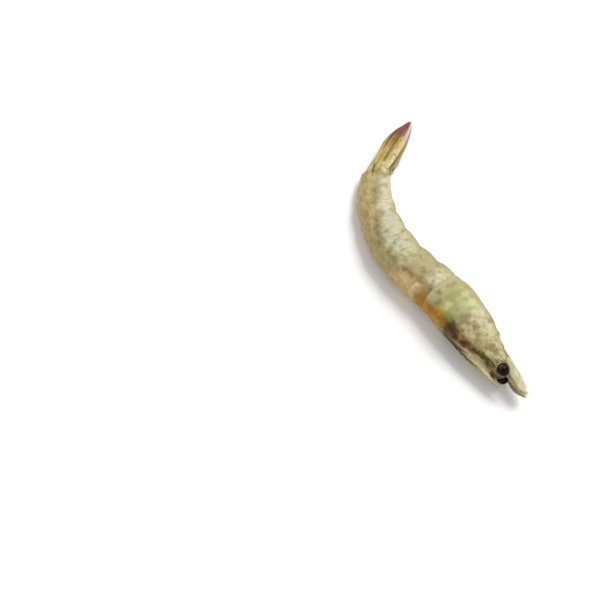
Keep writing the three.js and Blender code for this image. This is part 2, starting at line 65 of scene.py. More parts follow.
floor_mesh = bpy.data.meshes.new("floor")
floor_bm = bmesh.new()
bmesh.ops.create_grid(floor_bm, x_segments=1, y_segments=1, size=3.0)
floor_bm.to_mesh(floor_mesh)
floor_bm.free()
floor = bpy.data.objects.new("floor", floor_mesh)
floor_material = bpy.data.materials.new("white floor")
floor_material.use_nodes = True
floor_shader = floor_material.node_tree.nodes["Principled BSDF"]
floor_shader.inputs["Base Color"].default_value = (0.9, 0.9, 0.9, 1)
floor_shader.inputs["Roughness"].default_value = 0.6
floor_mesh.materials.append(floor_material)
show(floor)

PICTURE_RIGHT = Vector((cos(AZIMUTH), sin(AZIMUTH), 0))
PICTURE_AWAY = Vector((-sin(AZIMUTH), cos(AZIMUTH), 0))


def panel(name, right, away, up, distance, size, watts, colour):
    """A square soft light that shines on the middle of the prawn from a direction of the picture. Its
    distance and size are in metres."""
    direction = (PICTURE_RIGHT * right + PICTURE_AWAY * away + Vector((0, 0, up))).normalized()
    light = bpy.data.lights.new(name, "AREA")
    light.size = size
    light.energy = watts
    light.color = colour
    lamp = bpy.data.objects.new(name, light)
    lamp.location = direction * distance
    lamp.rotation_euler = direction.to_track_quat("Z", "Y").to_euler()
    show(lamp)


panel("belly side light", 0.55, 0.45, 1.0, distance=0.9, size=0.5, watts=6.5, colour=(1.0, 0.99, 0.97))
panel("back side light", -0.9, -0.5, 0.6, distance=1.0, size=0.5, watts=1.2, colour=(0.97, 0.98, 1.0))
panel("glint light", 0.35, 0.1, 1.0, distance=1.0, size=0.16, watts=1.2, colour=(1.0, 1.0, 1.0))
world = bpy.data.worlds.new("world")
world.use_nodes = True
room = world.node_tree.nodes["Background"]
room.inputs["Color"].default_value = (1, 1, 1, 1)
room.inputs["Strength"].default_value = 0.62
bpy.context.scene.world = world
bpy.context.scene.view_settings.view_transform = "Standard"

# Head shell.
# One stiff, wet, see-through shell over the front half of the body, open below and in front. Behind the eyes
# the dark organs show through it along the back, and an upright crest with a toothed beak runs along its top.
HEAD_LENGTH = 38.6  # from the rear edge of the head shell to the eye socket, in millimetres
HEAD_HEADING = 18.6  # degrees from +X towards +Y
RINGS = ((8.5, -6.4), (10.5, 3), (12, 7), (10.5, 11), (9.5, 10), (13.9, 15))  # length and turn, front to back
TAIL_CURL = 22  # turn of the tail fan, in degrees
SINK = 0.35  # how far the round side is flattened where it lies
LEAST_HEIGHT = 0.03  # of any point above the surface
WELD = 0.002 * MM  # points of a piece that are nearer than this become one
ORIGIN = Vector((75.638, -21.600, 0))  # the frame's origin, on the curve below
ABDOMEN = sum(length for length, turn in RINGS)


def profile(points):
    """A smooth curve through a few (place, value) pairs, flat beyond its ends."""
    last = len(points) - 1
    slopes = []
    for i in range(last + 1):
        before, after = points[max(i - 1, 0)], points[min(i + 1, last)]
        slopes.append((after[1] - before[1]) / (after[0] - before[0]))

    def value(x):
        if x <= points[0][0]:
            return points[0][1]
        if x >= points[last][0]:
            return points[last][1]
        i = 0
        while x > points[i + 1][0]:
            i += 1
        width = points[i + 1][0] - points[i][0]
        t = (x - points[i][0]) / width
        rise = points[i + 1][1] - points[i][1]
        start, end = slopes[i] * width, slopes[i + 1] * width
        return points[i][1] + t * (start + t * (3 * rise - 2 * start - end + t * (start + end - 2 * rise)))

    return value


back_height = profile([
    (-65, 5.2), (-60, 6.8), (-51, 7.6), (-41, 7.9), (-30, 9), (-19, 9.3), (-8, 9.1), (0, 8.6), (10, 8.7),
    (17, 8.6), (23, 7.4), (28, 6.2), (34, 5.2), (39, 4.5),
])
flap_depth = profile([
    (-65, 4.9), (-60, 5.6), (-51, 6.7), (-41, 7.1), (-30, 7.5), (-19, 7.8), (-8, 8.6), (0, 9.3),
])
shell_depth = profile([
    (0, 9.2), (5, 10), (12, 9.8), (18, 9.25), (22.5, 9), (27, 8.4), (32, 6.9), (39, 4.3),
])
half_width = profile([
    (-66, 4.2), (-60, 4.9), (-51, 5.8), (-40, 6.7), (-25, 7.6), (-8, 7.9), (0, 7.8), (12, 8.4), (24, 7.3),
    (39, 4.9),
])
flattened = [(x, half_width(x) - SINK) for x in (-51, -40, -25, -8, 12)]
rest_height = profile([(-97, 4.6), (-66, 4.6)] + flattened + [(38, 7.4), (54, 6.8)])

turns = [(0, HEAD_HEADING)]
joint_x, joint_heading = 0, HEAD_HEADING
for length, turn in RINGS:
    joint_heading -= turn
    turns.insert(0, (joint_x - length / 2, joint_heading))
    joint_x -= length
turns.insert(0, (joint_x + 2, joint_heading - 3))
turns.insert(0, (joint_x - 5, joint_heading - TAIL_CURL))
heading = profile(turns)

LINE_START, LINE_STEP, LINE_COUNT = -105, 0.25, 680  # the body's middle line as many short steps
line = [(0.0, 0.0, 0.0, 1.0, rest_height(LINE_START))]
for i in range(1, LINE_COUNT):
    x, y = line[-1][:2]
    half_turn = radians(heading(LINE_START + (i - 0.5) * LINE_STEP))
    turn = radians(heading(LINE_START + i * LINE_STEP))
    line.append((
        x + LINE_STEP * cos(half_turn), y + LINE_STEP * sin(half_turn),
        sin(turn), cos(turn), rest_height(LINE_START + i * LINE_STEP),
    ))


def bend(x, y, z):
    """The place in the frame, in metres, of a point on a straight prawn, in millimetres: x runs forward from
    the rear edge of the head shell, y from back to belly, z to the left. Nothing sinks below the surface."""
    place = (x - LINE_START) / LINE_STEP
    i = int(place)
    t = place - i
    mid_x, mid_y, sine, cosine, height = (a + (b - a) * t for a, b in zip(line[i], line[i + 1]))
    laid = Vector((mid_x - y * sine, mid_y + y * cosine, max(height + z, LEAST_HEIGHT)))
    return (laid - ORIGIN) * MM


LAYERS = ("place", "marks", "tints")


def lay_sheet(bm, rows, columns, place):
    """Adds a grid to bm. place(u, v) gives each point on the straight prawn, with the marks and tints that
    paint reads there, three numbers each."""
    for name in LAYERS:
        if name not in bm.verts.layers.float_vector:
            bm.verts.layers.float_vector.new(name)
    layers = [bm.verts.layers.float_vector[name] for name in LAYERS]
    made = bmesh.ops.create_grid(bm, x_segments=rows, y_segments=columns, size=0.5)
    for vert in made["verts"]:
        values = place(vert.co.x + 0.5, vert.co.y + 0.5)
        for layer, value in zip(layers, values):
            vert[layer] = Vector(value)
        vert.co = bend(*values[0])
    bmesh.ops.remove_doubles(bm, verts=made["verts"], dist=WELD)


def between(a, b, c, d, t):
    """The point a share t of the way from b to c, on the smooth curve through a, b, c and d."""
    return [
        q + 0.5 * t * (r - p + t * (2 * p - 5 * q + 4 * r - w + t * (3 * (q - r) + w - p)))
        for p, q, r, w in zip(a, b, c, d)
    ]


def loop_point(points, share):
    """A point of the smooth closed curve through points, a share of the way round it."""
    place = share * len(points)
    i = int(place)
    return between(*(points[(i + step) % len(points)] for step in (-1, 0, 1, 2)), place - i)


def body_loop(back, side, flap, belly):
    """The closed cross section of a shell with flaps, as (y, z), from the back round the left side."""
    left = []
    for i in range(7):
        turn = radians(15 * i)
        left.append((-back * abs(cos(turn)) ** 0.92, side * sin(turn) ** 0.92))
    left += [(flap * q, side * (1 - 0.16 * q * q)) for q in (0.35, 0.62, 0.84)]
    left += [(flap - 0.4, side * 0.84), (flap, side * 0.78), (flap - 0.5, side * 0.72)]
    left += [(belly + 0.15, side * 0.46), (belly, side * 0.24), (belly, 0)]
    return left + [(y, -z) for y, z in reversed(left[1:-1])]


def smooth(value, low, high):
    """0 at low, 1 at high and smooth between; the other way round where low is over high."""
    t = min(max((value - low) / (high - low), 0), 1)
    return t * t * (3 - 2 * t)


def bump(value, middle, width):
    """1 at the middle, falling to nothing about two widths off."""
    return exp(-((value - middle) / width) ** 2)


waves.seed_set(1)  # the same ragged edges of the dabs each run
GIRTH = 4.2  # from the back round the left side to the belly, in half widths of the body
CORE_Y = 1.5  # the middle of a shell's section, towards which its inner walls are drawn


def dabs(x, way, spots):
    """How far soft ragged dabs of colour cover a place; a spot is (x, way, radius in millimetres)."""
    girth = GIRTH * half_width(x)
    here = Vector((x, way * girth, 0))
    here += waves.noise_vector(here * 0.4) * 1.5 + waves.noise_vector(here * 1.1) * 0.7
    cover = 0
    for spot_x, spot_way, radius in spots:
        off = (here.x - spot_x) ** 2 + (here.y - spot_way * girth) ** 2
        if off < 6 * radius ** 2:
            cover = max(cover, exp(-off / radius ** 2))
    return cover


def cup(bm, front, rear, sizes, stations, columns, relief, tints):
    """Adds a closed shell. front(way) and rear(way) are its edges, way running from 0 at the back to 1 at
    the belly, and sizes(x, t) its section. A station is (t, inset, reach): a share t from front to rear, set
    in from the surface by inset, and drawn in to the middle where reach is under 1."""
    def ring(t, inset, reach):
        middle = front(0.5) * (1 - t) + rear(0.5) * t
        loop = body_loop(*sizes(middle, t))
        flat = [loop_point(loop, j / columns) for j in range(columns)]
        out = []
        for j, (y, z) in enumerate(flat):
            way = 1 - abs(2 * j / columns - 1)
            x = front(way) * (1 - t) + rear(way) * t
            (y0, z0), (y1, z1) = flat[j - 1], flat[(j + 1) % columns]
            length = hypot(y1 - y0, z1 - z0) or 1
            push = (relief(x, way, t, z) if reach == 1 else 0) - inset
            y, z = y - (z1 - z0) / length * push, z + (y1 - y0) / length * push
            y, z = CORE_Y + (y - CORE_Y) * reach, z * reach
            out.append(((middle + (x - middle) * reach, y, z), (t, way, way / band_way(x)), tints(x, way)))
        return out

    rings = [ring(*station) for station in stations]
    rows = len(stations) - 1
    lay_sheet(bm, rows, columns, lambda u, v: rings[round(u * rows)][round(v * columns) % columns])


def spread(count, low, high):
    return [low + (high - low) * i / (count - 1) for i in range(count)]


class Wire:
    """An output of a material's node. Arithmetic on it adds Math nodes, and node adds any other."""

    def __init__(self, tree, socket=None):
        self.tree = tree
        self.socket = socket

    def node(self, kind, settings=None, inputs=None, output=0):
        made = self.tree.nodes.new(kind)
        for name, value in (settings or {}).items():
            setattr(made, name, value)
        for name, value in (inputs or {}).items():
            if isinstance(value, Wire):
                self.tree.links.new(value.socket, made.inputs[name])
            else:
                made.inputs[name].default_value = value
        return Wire(self.tree, made.outputs[output])

    def maths(self, operation, first, second):
        return self.node("ShaderNodeMath", {"operation": operation}, {0: first, 1: second})

    def __add__(self, other):
        return self.maths("ADD", self, other)

    def __sub__(self, other):
        return self.maths("SUBTRACT", self, other)

    def __rsub__(self, other):
        return self.maths("SUBTRACT", other, self)

    def __mul__(self, other):
        return self.maths("MULTIPLY", self, other)

    def __pow__(self, other):
        return self.maths("POWER", self, other)

    __radd__ = __add__
    __rmul__ = __mul__


GLARE, LIGHT = 0.016, 1.12  # what the wet surface mirrors of the pale room, and how strongly it is lit


def tone(code):
    """The base colour, in linear values, that a wet surface needs to be seen as a six-figure code."""
    parts = [int(code[i:i + 2], 16) / 255 for i in (0, 2, 4)]
    seen = [c / 12.92 if c < 0.04045 else ((c + 0.055) / 1.055) ** 2.4 for c in parts]
    return tuple(max((c - GLARE) / LIGHT, 0.001) for c in seen) + (1.0,)


def ease(wire, low, high):
    """0 below low, 1 above high and smooth between; the other way round where low is over high."""
    return wire.node("ShaderNodeMapRange", {"interpolation_type": "SMOOTHSTEP"}, {0: wire, 1: low, 2: high})


def mix(factor, first, second):
    """Lays second over first where factor is 1. Each is a six-figure code, a wire or linear values."""
    first, second = (tone(colour) if isinstance(colour, str) else colour for colour in (first, second))
    settings = {"data_type": "RGBA", "clamp_factor": True}
    return factor.node("ShaderNodeMix", settings, {0: factor, 6: first, 7: second}, output=2)


def coats(colour, *layers):
    """Lays more colours over one, each where the factor before it is 1."""
    for factor, coat in layers:
        colour = mix(factor, colour, coat)
    return colour


def noise(vector, scale, detail=2.0, roughness=0.5):
    return vector.node("ShaderNodeTexNoise", None, {
        "Vector": vector, "Scale": scale, "Detail": detail, "Roughness": roughness,
    })


def grains(place):
    """The four noises, from coarse to fine, that break up the colours of the shells, and how far they shift
    the edges of a colour and of a dab."""
    coarse, medium, blotch = noise(place, 0.2, 1), noise(place, 0.4), noise(place, 0.7, 1, 0.4)
    fine = noise(place, 1.7, 3, 0.6)
    sway = medium - 0.5
    return coarse, medium, blotch, fine, sway, sway * 1.2 + (fine - 0.5) * 0.2


def dots(vector, scale, size):
    """Round dots, 1 inside and 0 outside; size is their radius as a share of their distance, or a wire."""
    distance = vector.node("ShaderNodeTexVoronoi", None, {"Vector": vector, "Scale": scale})
    return ease(distance - size, 0.08, -0.08)


def stretch(vector, factors):
    return vector.node("ShaderNodeVectorMath", {"operation": "MULTIPLY"}, {0: vector, 1: factors})


def start_paint(name):
    """A new material, and the wires of what its pieces carry: the place on the straight prawn, and the three
    parts each of this place, of the marks and of the tints."""
    material = bpy.data.materials.new(name)
    material.use_nodes = True
    root = Wire(material.node_tree)
    wires = []
    for layer in LAYERS:
        vector = root.node("ShaderNodeAttribute", {"attribute_name": layer}, output="Vector")
        parts = [root.node("ShaderNodeSeparateXYZ", None, {0: vector}, output=axis) for axis in range(3)]
        wires += [vector, parts] if layer == "place" else [parts]
    return material, *wires


def wet(material, colour, height, relief, roughness, depth=0.9, flesh=0.22, mirror=0.3):
    """Ends a material as something wet and slightly see-through: relief is the height of its bump and depth
    the reach of light below its surface, both in millimetres, flesh is the share of light that enters it, and
    mirror how strongly its surface shines."""
    shader = material.node_tree.nodes["Principled BSDF"]
    normal = height.node("ShaderNodeBump", None, {"Strength": 0.6, "Distance": relief * MM, "Height": height})
    for name, wire in (("Base Color", colour), ("Normal", normal), ("Roughness", roughness)):
        material.node_tree.links.new(wire.socket, shader.inputs[name])
    for name, value in (
        ("Subsurface Weight", flesh), ("Subsurface Radius", (1.0, 0.92, 0.8)),
        ("Subsurface Scale", depth * MM), ("IOR", 1.34), ("Specular IOR Level", mirror),
    ):
        shader.inputs[name].default_value = value


def piece(bm, name, material, node):
    """Turns a bmesh into a piece of the prawn that stands for a node."""
    bmesh.ops.recalc_face_normals(bm, faces=bm.faces)
    for face in bm.faces:
        face.smooth = True
    mesh = bpy.data.meshes.new(name)
    bm.to_mesh(mesh)
    bm.free()
    mesh.materials.append(material)
    made = bpy.data.objects.new(name, mesh)
    show(made)
    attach(made, "root")
    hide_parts(node)


def skin(bm, node, material):
    """The same, named after its node."""
    piece(bm, node + "_skin", material, node)


# Its colours: green behind, mottled in front, orange to black organs along the back, a pale base of the crest
# and a pale breast. Most edges sway with the medium noise.
head_paint, place, (x, y, z), (t, way, band), (dark, pale, organ) = start_paint("wet head shell")
coarse, medium, blotch, fine, sway, soften = grains(place)
green = coats(
    mix(ease(coarse, 0.38, 0.62), "999a60", "aaa96f"),
    (ease(medium, 0.44, 0.72) * 0.12, "c4c091"),
)
mottled = coats(
    mix(ease(medium, 0.34, 0.62), "9b8e68", "bcb185"),
    (ease(blotch, 0.5, 0.7) * 0.6, "857a57"),
    (ease(blotch, 0.48, 0.3) * 0.5, "d2c9a4"),
    (ease(noise(place, 0.55), 0.46, 0.6) * ease(x, 28, 22) * 0.75, "a3907a"),
    (ease(coarse, 0.5, 0.66) * ease(x, 24, 30) * 0.7, "a39f6c"),
)
deep = coats(
    mix(ease(x, 20, 22.5), "493805", "552e04"),
    (ease(x, 26.5, 28.5), "50421a"),
)
organs = coats(
    mix(ease(medium, 0.34, 0.64), "a0691a", "ba882e"),
    (ease(x + sway * 6, 9.5, 13), "866a1e"),
    (ease(x + sway * 6, 15, 18), "7c5f27"),
    (ease(x + sway * 4, 19, 21), mix(ease(blotch, 0.4, 0.6), "846829", "a8873f")),
    (ease(x + sway * 4, 26, 28.5), "948449"),
    (ease(x + sway * 4, 35.5, 38), "8c7b46"),
    (ease(dark + soften * 0.4 + (fine - 0.5) * 0.6, 0.05, 0.85), deep),
)
crest_base = ease(band + sway * 0.3, 0.28, 0.12) * ease(x + sway * 4, 21.5, 25) * ease(x, 38, 34)
crest_dark = ease(way + (fine - 0.5) * 0.02, 0.04, 0.02) * ease(x, 13, 16) * ease(x, 29, 25)
breast = ease(way, 0.85, 0.9)
speckles = dots(place, 1.5, ease(noise(place, 0.35, 1), 0.45, 0.75) * 0.3)
head_colour = coats(
    mix(ease(x + sway * 12, 13, 20), green, mottled),
    (ease(x + sway * 6, 7, 1), "b3ab82"),
    (ease(way + sway * 0.3, 0.48, 0.64) * 0.85, "b1a67e"),
    (ease(way, 0.64, 0.72) * 0.8, "bfb793"),
    (ease(pale + soften, -0.1, 1.1) * 0.75, "d0c8a0"),
    (ease(dark + soften, 0.0, 1.1) * 0.75, "7a7047"),
    (ease(organ + soften * 0.5, 0.15, 0.85) * 0.95, organs),
    (crest_base, mix(ease(medium, 0.4, 0.6), "c9b78e", "e3d5ae")),
    (crest_dark * 0.9, "40331a"),
    (breast, mix(ease(medium, 0.35, 0.65), "c3b78e", "d8cda6")),
    (breast * pale, "ece3c8"),
    (speckles * 0.35, "5f5531"),
    (ease(fine, 0.5, 0.7) * 0.15, "6d6440"),
)
wet(head_paint, head_colour, fine * 0.25 + medium, 0.12, 0.16 + fine * 0.16)

head_shell_front = profile([
    (0, 3.2), (0.12, 2.6), (0.24, 0.8), (0.38, -1), (0.47, 1.8), (0.56, -0.4), (0.76, -4.5), (1, -4),
])
head_shell_rear = profile([(0, 0.6), (0.4, -1.0), (0.62, -0.8), (0.78, 1.4), (1, 1.8)])
band_way = profile([
    (-66, 0.42), (-50, 0.4), (-40, 0.34), (-30, 0.25), (-20, 0.24), (-10, 0.29), (0, 0.31), (6, 0.28),
    (39, 0.26),
])
organ_middle = profile([
    (-6, 0.06), (6, 0.09), (13, 0.12), (17, 0.13), (21, 0.13), (25, 0.145), (29, 0.17), (34, 0.18),
    (38, 0.14),
])
organ_half = profile([
    (-6, 0.07), (6, 0.13), (13, 0.14), (17, 0.14), (21, 0.11), (25, 0.085), (30, 0.075), (38, 0.09),
])
ORGAN_SPOTS = (
    (16.6, 0.185, 3.1), (15.3, 0.07, 2.2), (19.3, 0.1, 2.4), (24.2, 0.115, 2.7), (22.4, 0.1, 1.6),
    (28.8, 0.14, 1.6), (27.6, 0.1, 1.3), (30.7, 0.155, 1.4), (33.2, 0.185, 1.9), (35.5, 0.17, 2.1),
    (37.7, 0.21, 1.2), (40, 0.06, 1.3),
)
HEAD_DARK_SPOTS = (
    (16.8, 0.38, 2.2), (19.5, 0.38, 1.5), (22, 0.4, 1.6), (25.2, 0.37, 1.6), (20.5, 0.25, 1.5),
    (23, 0.62, 1.6), (26.5, 0.67, 1.7), (32, 0.41, 1.8), (34.5, 0.43, 1.6), (5, 0.25, 1.3), (2, 0.34, 1.6),
    (2.2, 0.48, 1.5), (37, 0.32, 1.7), (30.5, 0.33, 1.4), (28, 0.33, 1.3), (17.5, 0.33, 1.8),
    (22.8, 0.56, 1.3),
)
HEAD_PALE_SPOTS = (
    (20, 0.31, 1.6), (24.5, 0.29, 1.4), (18.5, 0.54, 3), (13, 0.5, 3.2), (24.6, 0.5, 2.2),
    (29.4, 0.46, 2.4), (28.3, 0.38, 1.5), (33, 0.5, 1.8), (8.5, 0.31, 2.2), (37.7, 0.43, 1.7),
    (21.4, 0.47, 1.4), (33.6, 0.32, 1.2), (8.8, 0.52, 2.6),
)
LEG_HIPS = (28, 23.5, 18.5, 13, 8)


def over_hips(x):
    """1 over the hip of each walking leg, 0 between them."""
    return sum(bump(x, hip - 0.2, 1.25) for hip in LEG_HIPS)


def head_sizes(x, t):
    return back_height(x), half_width(x), shell_depth(x), shell_depth(x) * 0.84


def head_relief(x, way, t, z):
    """Grooves and ridges of the head shell, in millimetres."""
    crest = 0.5 * bump(z, 0, 1.1) * smooth(x, 10, 20)
    beside_crest = -0.22 * bump(abs(z), 2.1, 0.7) * smooth(x, 18, 26)
    neck_groove = -0.3 * bump(x, 17 + 16 * way, 1.2) * smooth(way, 0.16, 0.26) * smooth(way, 0.56, 0.42)
    cheek_ridge = 0.22 * bump(way, 0.47, 0.022) * smooth(x, 24, 30)
    rim_groove = -0.1 * bump(t, 0.955, 0.012)
    lower_rim = 0.1 * bump(way, 0.735, 0.02)
    breast = (0.55 * over_hips(x) - 0.45 * bump(z, 0, 0.45)) * smooth(way, 0.86, 0.92)
    return crest + beside_crest + neck_groove + cheek_ridge + rim_groove + lower_rim + breast


def head_tints(x, way):
    organ = bump(way, organ_middle(x), organ_half(x)) * smooth(x, 42, 40)
    spots = dabs(x, way, ORGAN_SPOTS)
    pale = dabs(x, way, HEAD_PALE_SPOTS) * 0.8 if way <= 0.85 else over_hips(x)
    return max(spots, dabs(x, way, HEAD_DARK_SPOTS) * 0.9), pale, max(organ, spots * 0.9)


head_stations = [
    (0.06, 0.9, 0), (0.06, 0.9, 0.5), (0.05, 0.9, 0.9), (0.045, 0.7, 1), (0.01, 0.35, 1), (0, 0.18, 1),
    *((t, 0, 1) for t in spread(92, 0.003, 0.997)),
    (1, 0.12, 1), (0.985, 0.3, 1), (0.95, 0.8, 1), (0.94, 1, 0.9), (0.94, 1, 0.5), (0.94, 1, 0),
]
bm = bmesh.new()
cup(
    bm, lambda way: HEAD_LENGTH + head_shell_front(way), head_shell_rear, head_sizes, head_stations,
    columns=192, relief=head_relief, tints=head_tints,
)

BEAK_START, BEAK_TIP = 14, 48.4
beak_top = profile([
    (14, 8.2), (19, 8.9), (24, 8.9), (29, 8.5), (34, 7.7), (38, 7.1), (42, 6.5), (45, 6), (48.4, 5.4),
])
beak_under = profile([(34, 3.6), (37, 4.6), (39, 5.1), (42, 5.3), (45, 5.25), (48.4, 5.3)])
TOOTH_FIRST, TOOTH_PITCH, TOOTH_COUNT, TOOTH_HEIGHT = 20.5, 2.95, 8, 0.42
LOWER_TEETH = (43.9, 46.2)


def tooth(x, first, pitch, count):
    """Height of a row of forward-leaning saw teeth, from 0 to 1."""
    share = (x - first) / pitch
    if not 0 < share < count:
        return 0
    share -= int(share)
    slope = 0.86  # share of a tooth that its long rear slope takes
    return (share / slope) ** 1.7 if share < slope else (1 - share) / (1 - slope)


def beak_point(u, v):
    """A point of the thin upright crest: v runs up its left face and down its right one."""
    x = BEAK_START + (BEAK_TIP - BEAK_START) * (1 - (1 - u) ** 1.15)
    height, face = 0.5 - 0.5 * cos(2 * pi * v), sin(2 * pi * v)
    rise = tooth(x, TOOTH_FIRST, TOOTH_PITCH, TOOTH_COUNT) * TOOTH_HEIGHT * smooth(height, 0.72, 1)
    top = beak_top(x)
    drop = sum(0.45 * bump(x, first, 0.28) for first in LOWER_TEETH)
    low = min(beak_under(x) - drop, top - 0.08)
    thick = (0.75 - 0.5 * height ** 1.5) * (1 - 0.6 * smooth(x, 40, BEAK_TIP))
    ends = min(1, (1 - u) * 12) ** 0.5 * min(1, u * 12) ** 0.5
    wide = copysign(abs(face) ** 0.6, face) * thick * ends
    return (x + 0.5 * rise, -(low + (top - low) * height + rise), wide), (u, height, 0)


beak_paint, place, (x, y, z), (along, height, none), tints = start_paint("see-through crest")
grain = noise(stretch(place, (0.6, 1.5, 1.5)), 0.8, 3, 0.6)
sway = grain - 0.5
beak_colour = coats(
    mix(ease(grain, 0.35, 0.65), "cbba8e", "e2d5ac"),
    (ease(noise(place, 0.5, 1), 0.5, 0.65) * 0.4, "b0a276"),
    (ease(x, 34, 40) * ease(height, 0.45, 0.1) * 0.8, "8a7c4a"),
    (ease(x, 41, 46) * 0.6, "b5ae9c"),
    (ease(x + sway * 3, 24, 19) * 0.85, "57451c"),
    (ease(height + sway * 0.2, 0.7, 0.92) * (0.5 + ease(x, 36, 30) * 0.4), "463a20"),
)
wet(beak_paint, beak_colour, grain, 0.05, 0.25 + grain * 0.1, depth=1.5)
skin(bm, "head_shell", head_paint)
bm = bmesh.new()
lay_sheet(bm, rows=300, columns=28, place=beak_point)
piece(bm, "beak_skin", beak_paint, "head_shell")

# Body rings.
# Six hoops of thin wet shell over pale flesh, each one's rear rim lying over the front of the next. Their
# rounded side plates hang below the belly, and small brown colour cells are scattered over all of them.
ring_paint, place, (x, y, z), (t, way, band), (dark, pale, organ) = start_paint("wet body ring")
coarse, medium, blotch, fine, sway, soften = grains(place)
second = ease(x + sway * 5, -18, -14) * ease(x + sway * 5, -4, -8)
middle = ease(x + sway * 8, -38, -32) * ease(x + sway * 5, -13, -17)
last = ease(x, -46, -53)
flank = coats(
    mix(ease(medium, 0.32, 0.64), "a9a27a", "c6be98"),
    (ease(coarse, 0.44, 0.64) * 0.7, "c0bfab"),
    (ease(blotch, 0.5, 0.78) * 0.4, "8a845c"),
    (ease(blotch, 0.46, 0.26) * 0.4, "d4cdae"),
    (second * 0.75, "a3966a"),
)
back = coats(
    mix(ease(medium, 0.36, 0.62), "a89260", "c0ab7c"),
    (ease(coarse, 0.46, 0.64) * 0.6, "b8a56e"),
    (ease(blotch, 0.5, 0.7) * 0.5, "a49a70"),
    (ease(blotch, 0.46, 0.3) * 0.4, "c6ac88"),
    (middle * 0.15, "94825a"),
    (second * 0.8, mix(ease(noise(place, 0.55), 0.42, 0.6), "cdab70", "e2c896")),
    (ease(x + sway * 5, -7, -3) * 0.75, "936f34"),
    (ease(band + sway * 0.5, 0.4, 0.0) * 0.5, "ad8f58"),
)
line_dark = ease(band + sway * 0.3, 0.78, 0.97) * ease(band + sway * 0.3, 1.22, 1.03) * ease(coarse, 0.3, 0.5)
belly = ease(way, 0.84, 0.89)
speckles = dots(place, 1.3, ease(noise(place, 0.3, 1), 0.42, 0.72) * 0.28)
ring_colour = coats(
    mix(ease(band + sway * 0.6, 1.2, 0.75), flank, back),
    (ease(way + sway * 0.3, 0.5, 0.66) * 0.85, mix(last, "ab9b6e", "cbbb90")),
    (ease(way, 0.66, 0.74) * 0.8, mix(last, "b3a47c", "d3c298")),
    # Pale patches: partly paler shell, partly painted sheen highlights along the upper side, coolest on the
    # last rings.
    (ease(pale + soften, -0.1, 1.1) * 0.6, mix(ease(x, -42, -34), "d8d0b9", "cfc8ad")),
    (line_dark * 0.6, "8d845b"),
    (ease(dark + soften, 0.0, 1.3) * 0.7, "71683f"),
    (ease(organ + soften * 0.6, 0.25, 0.75) * 0.95, "a9782c"),
    (belly, mix(ease(medium, 0.35, 0.65), "bcae84", "d3c79e")),
    (belly * pale, "ece2c4"),
    (speckles * 0.4, "5c5432"),
    (ease(fine, 0.5, 0.7) * 0.14, "6d6440"),
    (ease(t, 0.94, 0.985) * 0.35, "7e7650"),
)
wet(ring_paint, ring_colour, fine * 0.25 + medium, 0.12, 0.16 + fine * 0.16)

RING_EDGE = profile([(0, -0.9), (0.25, -0.3), (0.5, 1.0), (0.72, -0.7), (0.82, -0.3), (1, 0.2)])
LAST_RING = len(RINGS) - 1
ring_rears = [-sum(length for length, turn in RINGS[:k + 1]) for k in range(len(RINGS))]
PADDLE_ROOTS = [ring_rears[k] + RINGS[k][0] * 0.58 for k in range(LAST_RING)]
RING_DARK_SPOTS = (
    (-40, 0.31, 1.5), (-36.7, 0.28, 1.6), (-34, 0.26, 1.3), (-30, 0.225, 2.1), (-24.5, 0.27, 1.6),
    (-21.5, 0.25, 2), (-15, 0.27, 1.8), (-12.5, 0.28, 1.2), (-7, 0.29, 1.9), (-1.5, 0.31, 2),
    (-44, 0.2, 1.3), (-18, 0.33, 1.2), (-26.5, 0.37, 1.1), (-9.5, 0.41, 1.3), (-3.5, 0.39, 1.3),
    (-33, 0.37, 1.2), (-16, 0.47, 1.1), (-48, 0.37, 1.2), (-55, 0.37, 1.2), (-5, 0.5, 1.1),
    (-22, 0.4, 1), (2, 0.34, 1.6), (2.2, 0.48, 1.5),
)
# Pale patches of the rings; those along their upper side are painted sheen highlights.
RING_PALE_AND_SHEEN_SPOTS = (
    (-46, 0.46, 2.6), (-50, 0.55, 2.4), (-60.5, 0.48, 3), (-54, 0.47, 2.4), (-39.5, 0.55, 2.2),
    (-33.5, 0.53, 2.4), (-23, 0.43, 2.2), (-28, 0.54, 1.8), (-6, 0.51, 1.5), (-32, 0.46, 2.4),
    (-50, 0.46, 1.5),
)


def ring_edge(k, way):
    """Where the rear edge of ring k lies, -1 being the head shell."""
    if k < 0:
        return head_shell_rear(way)
    return ring_rears[k] + RING_EDGE(way) * (0.5 if k == LAST_RING else 1)


def ring_tints(x, way):
    organ = bump(way, organ_middle(x), organ_half(x)) * smooth(x, -9, -2)
    pale = dabs(x, way, RING_PALE_AND_SHEEN_SPOTS)
    if way > 0.84:
        pale = sum(bump(x, root_x, 1.1) for root_x in PADDLE_ROOTS)
    return dabs(x, way, RING_DARK_SPOTS), pale, organ


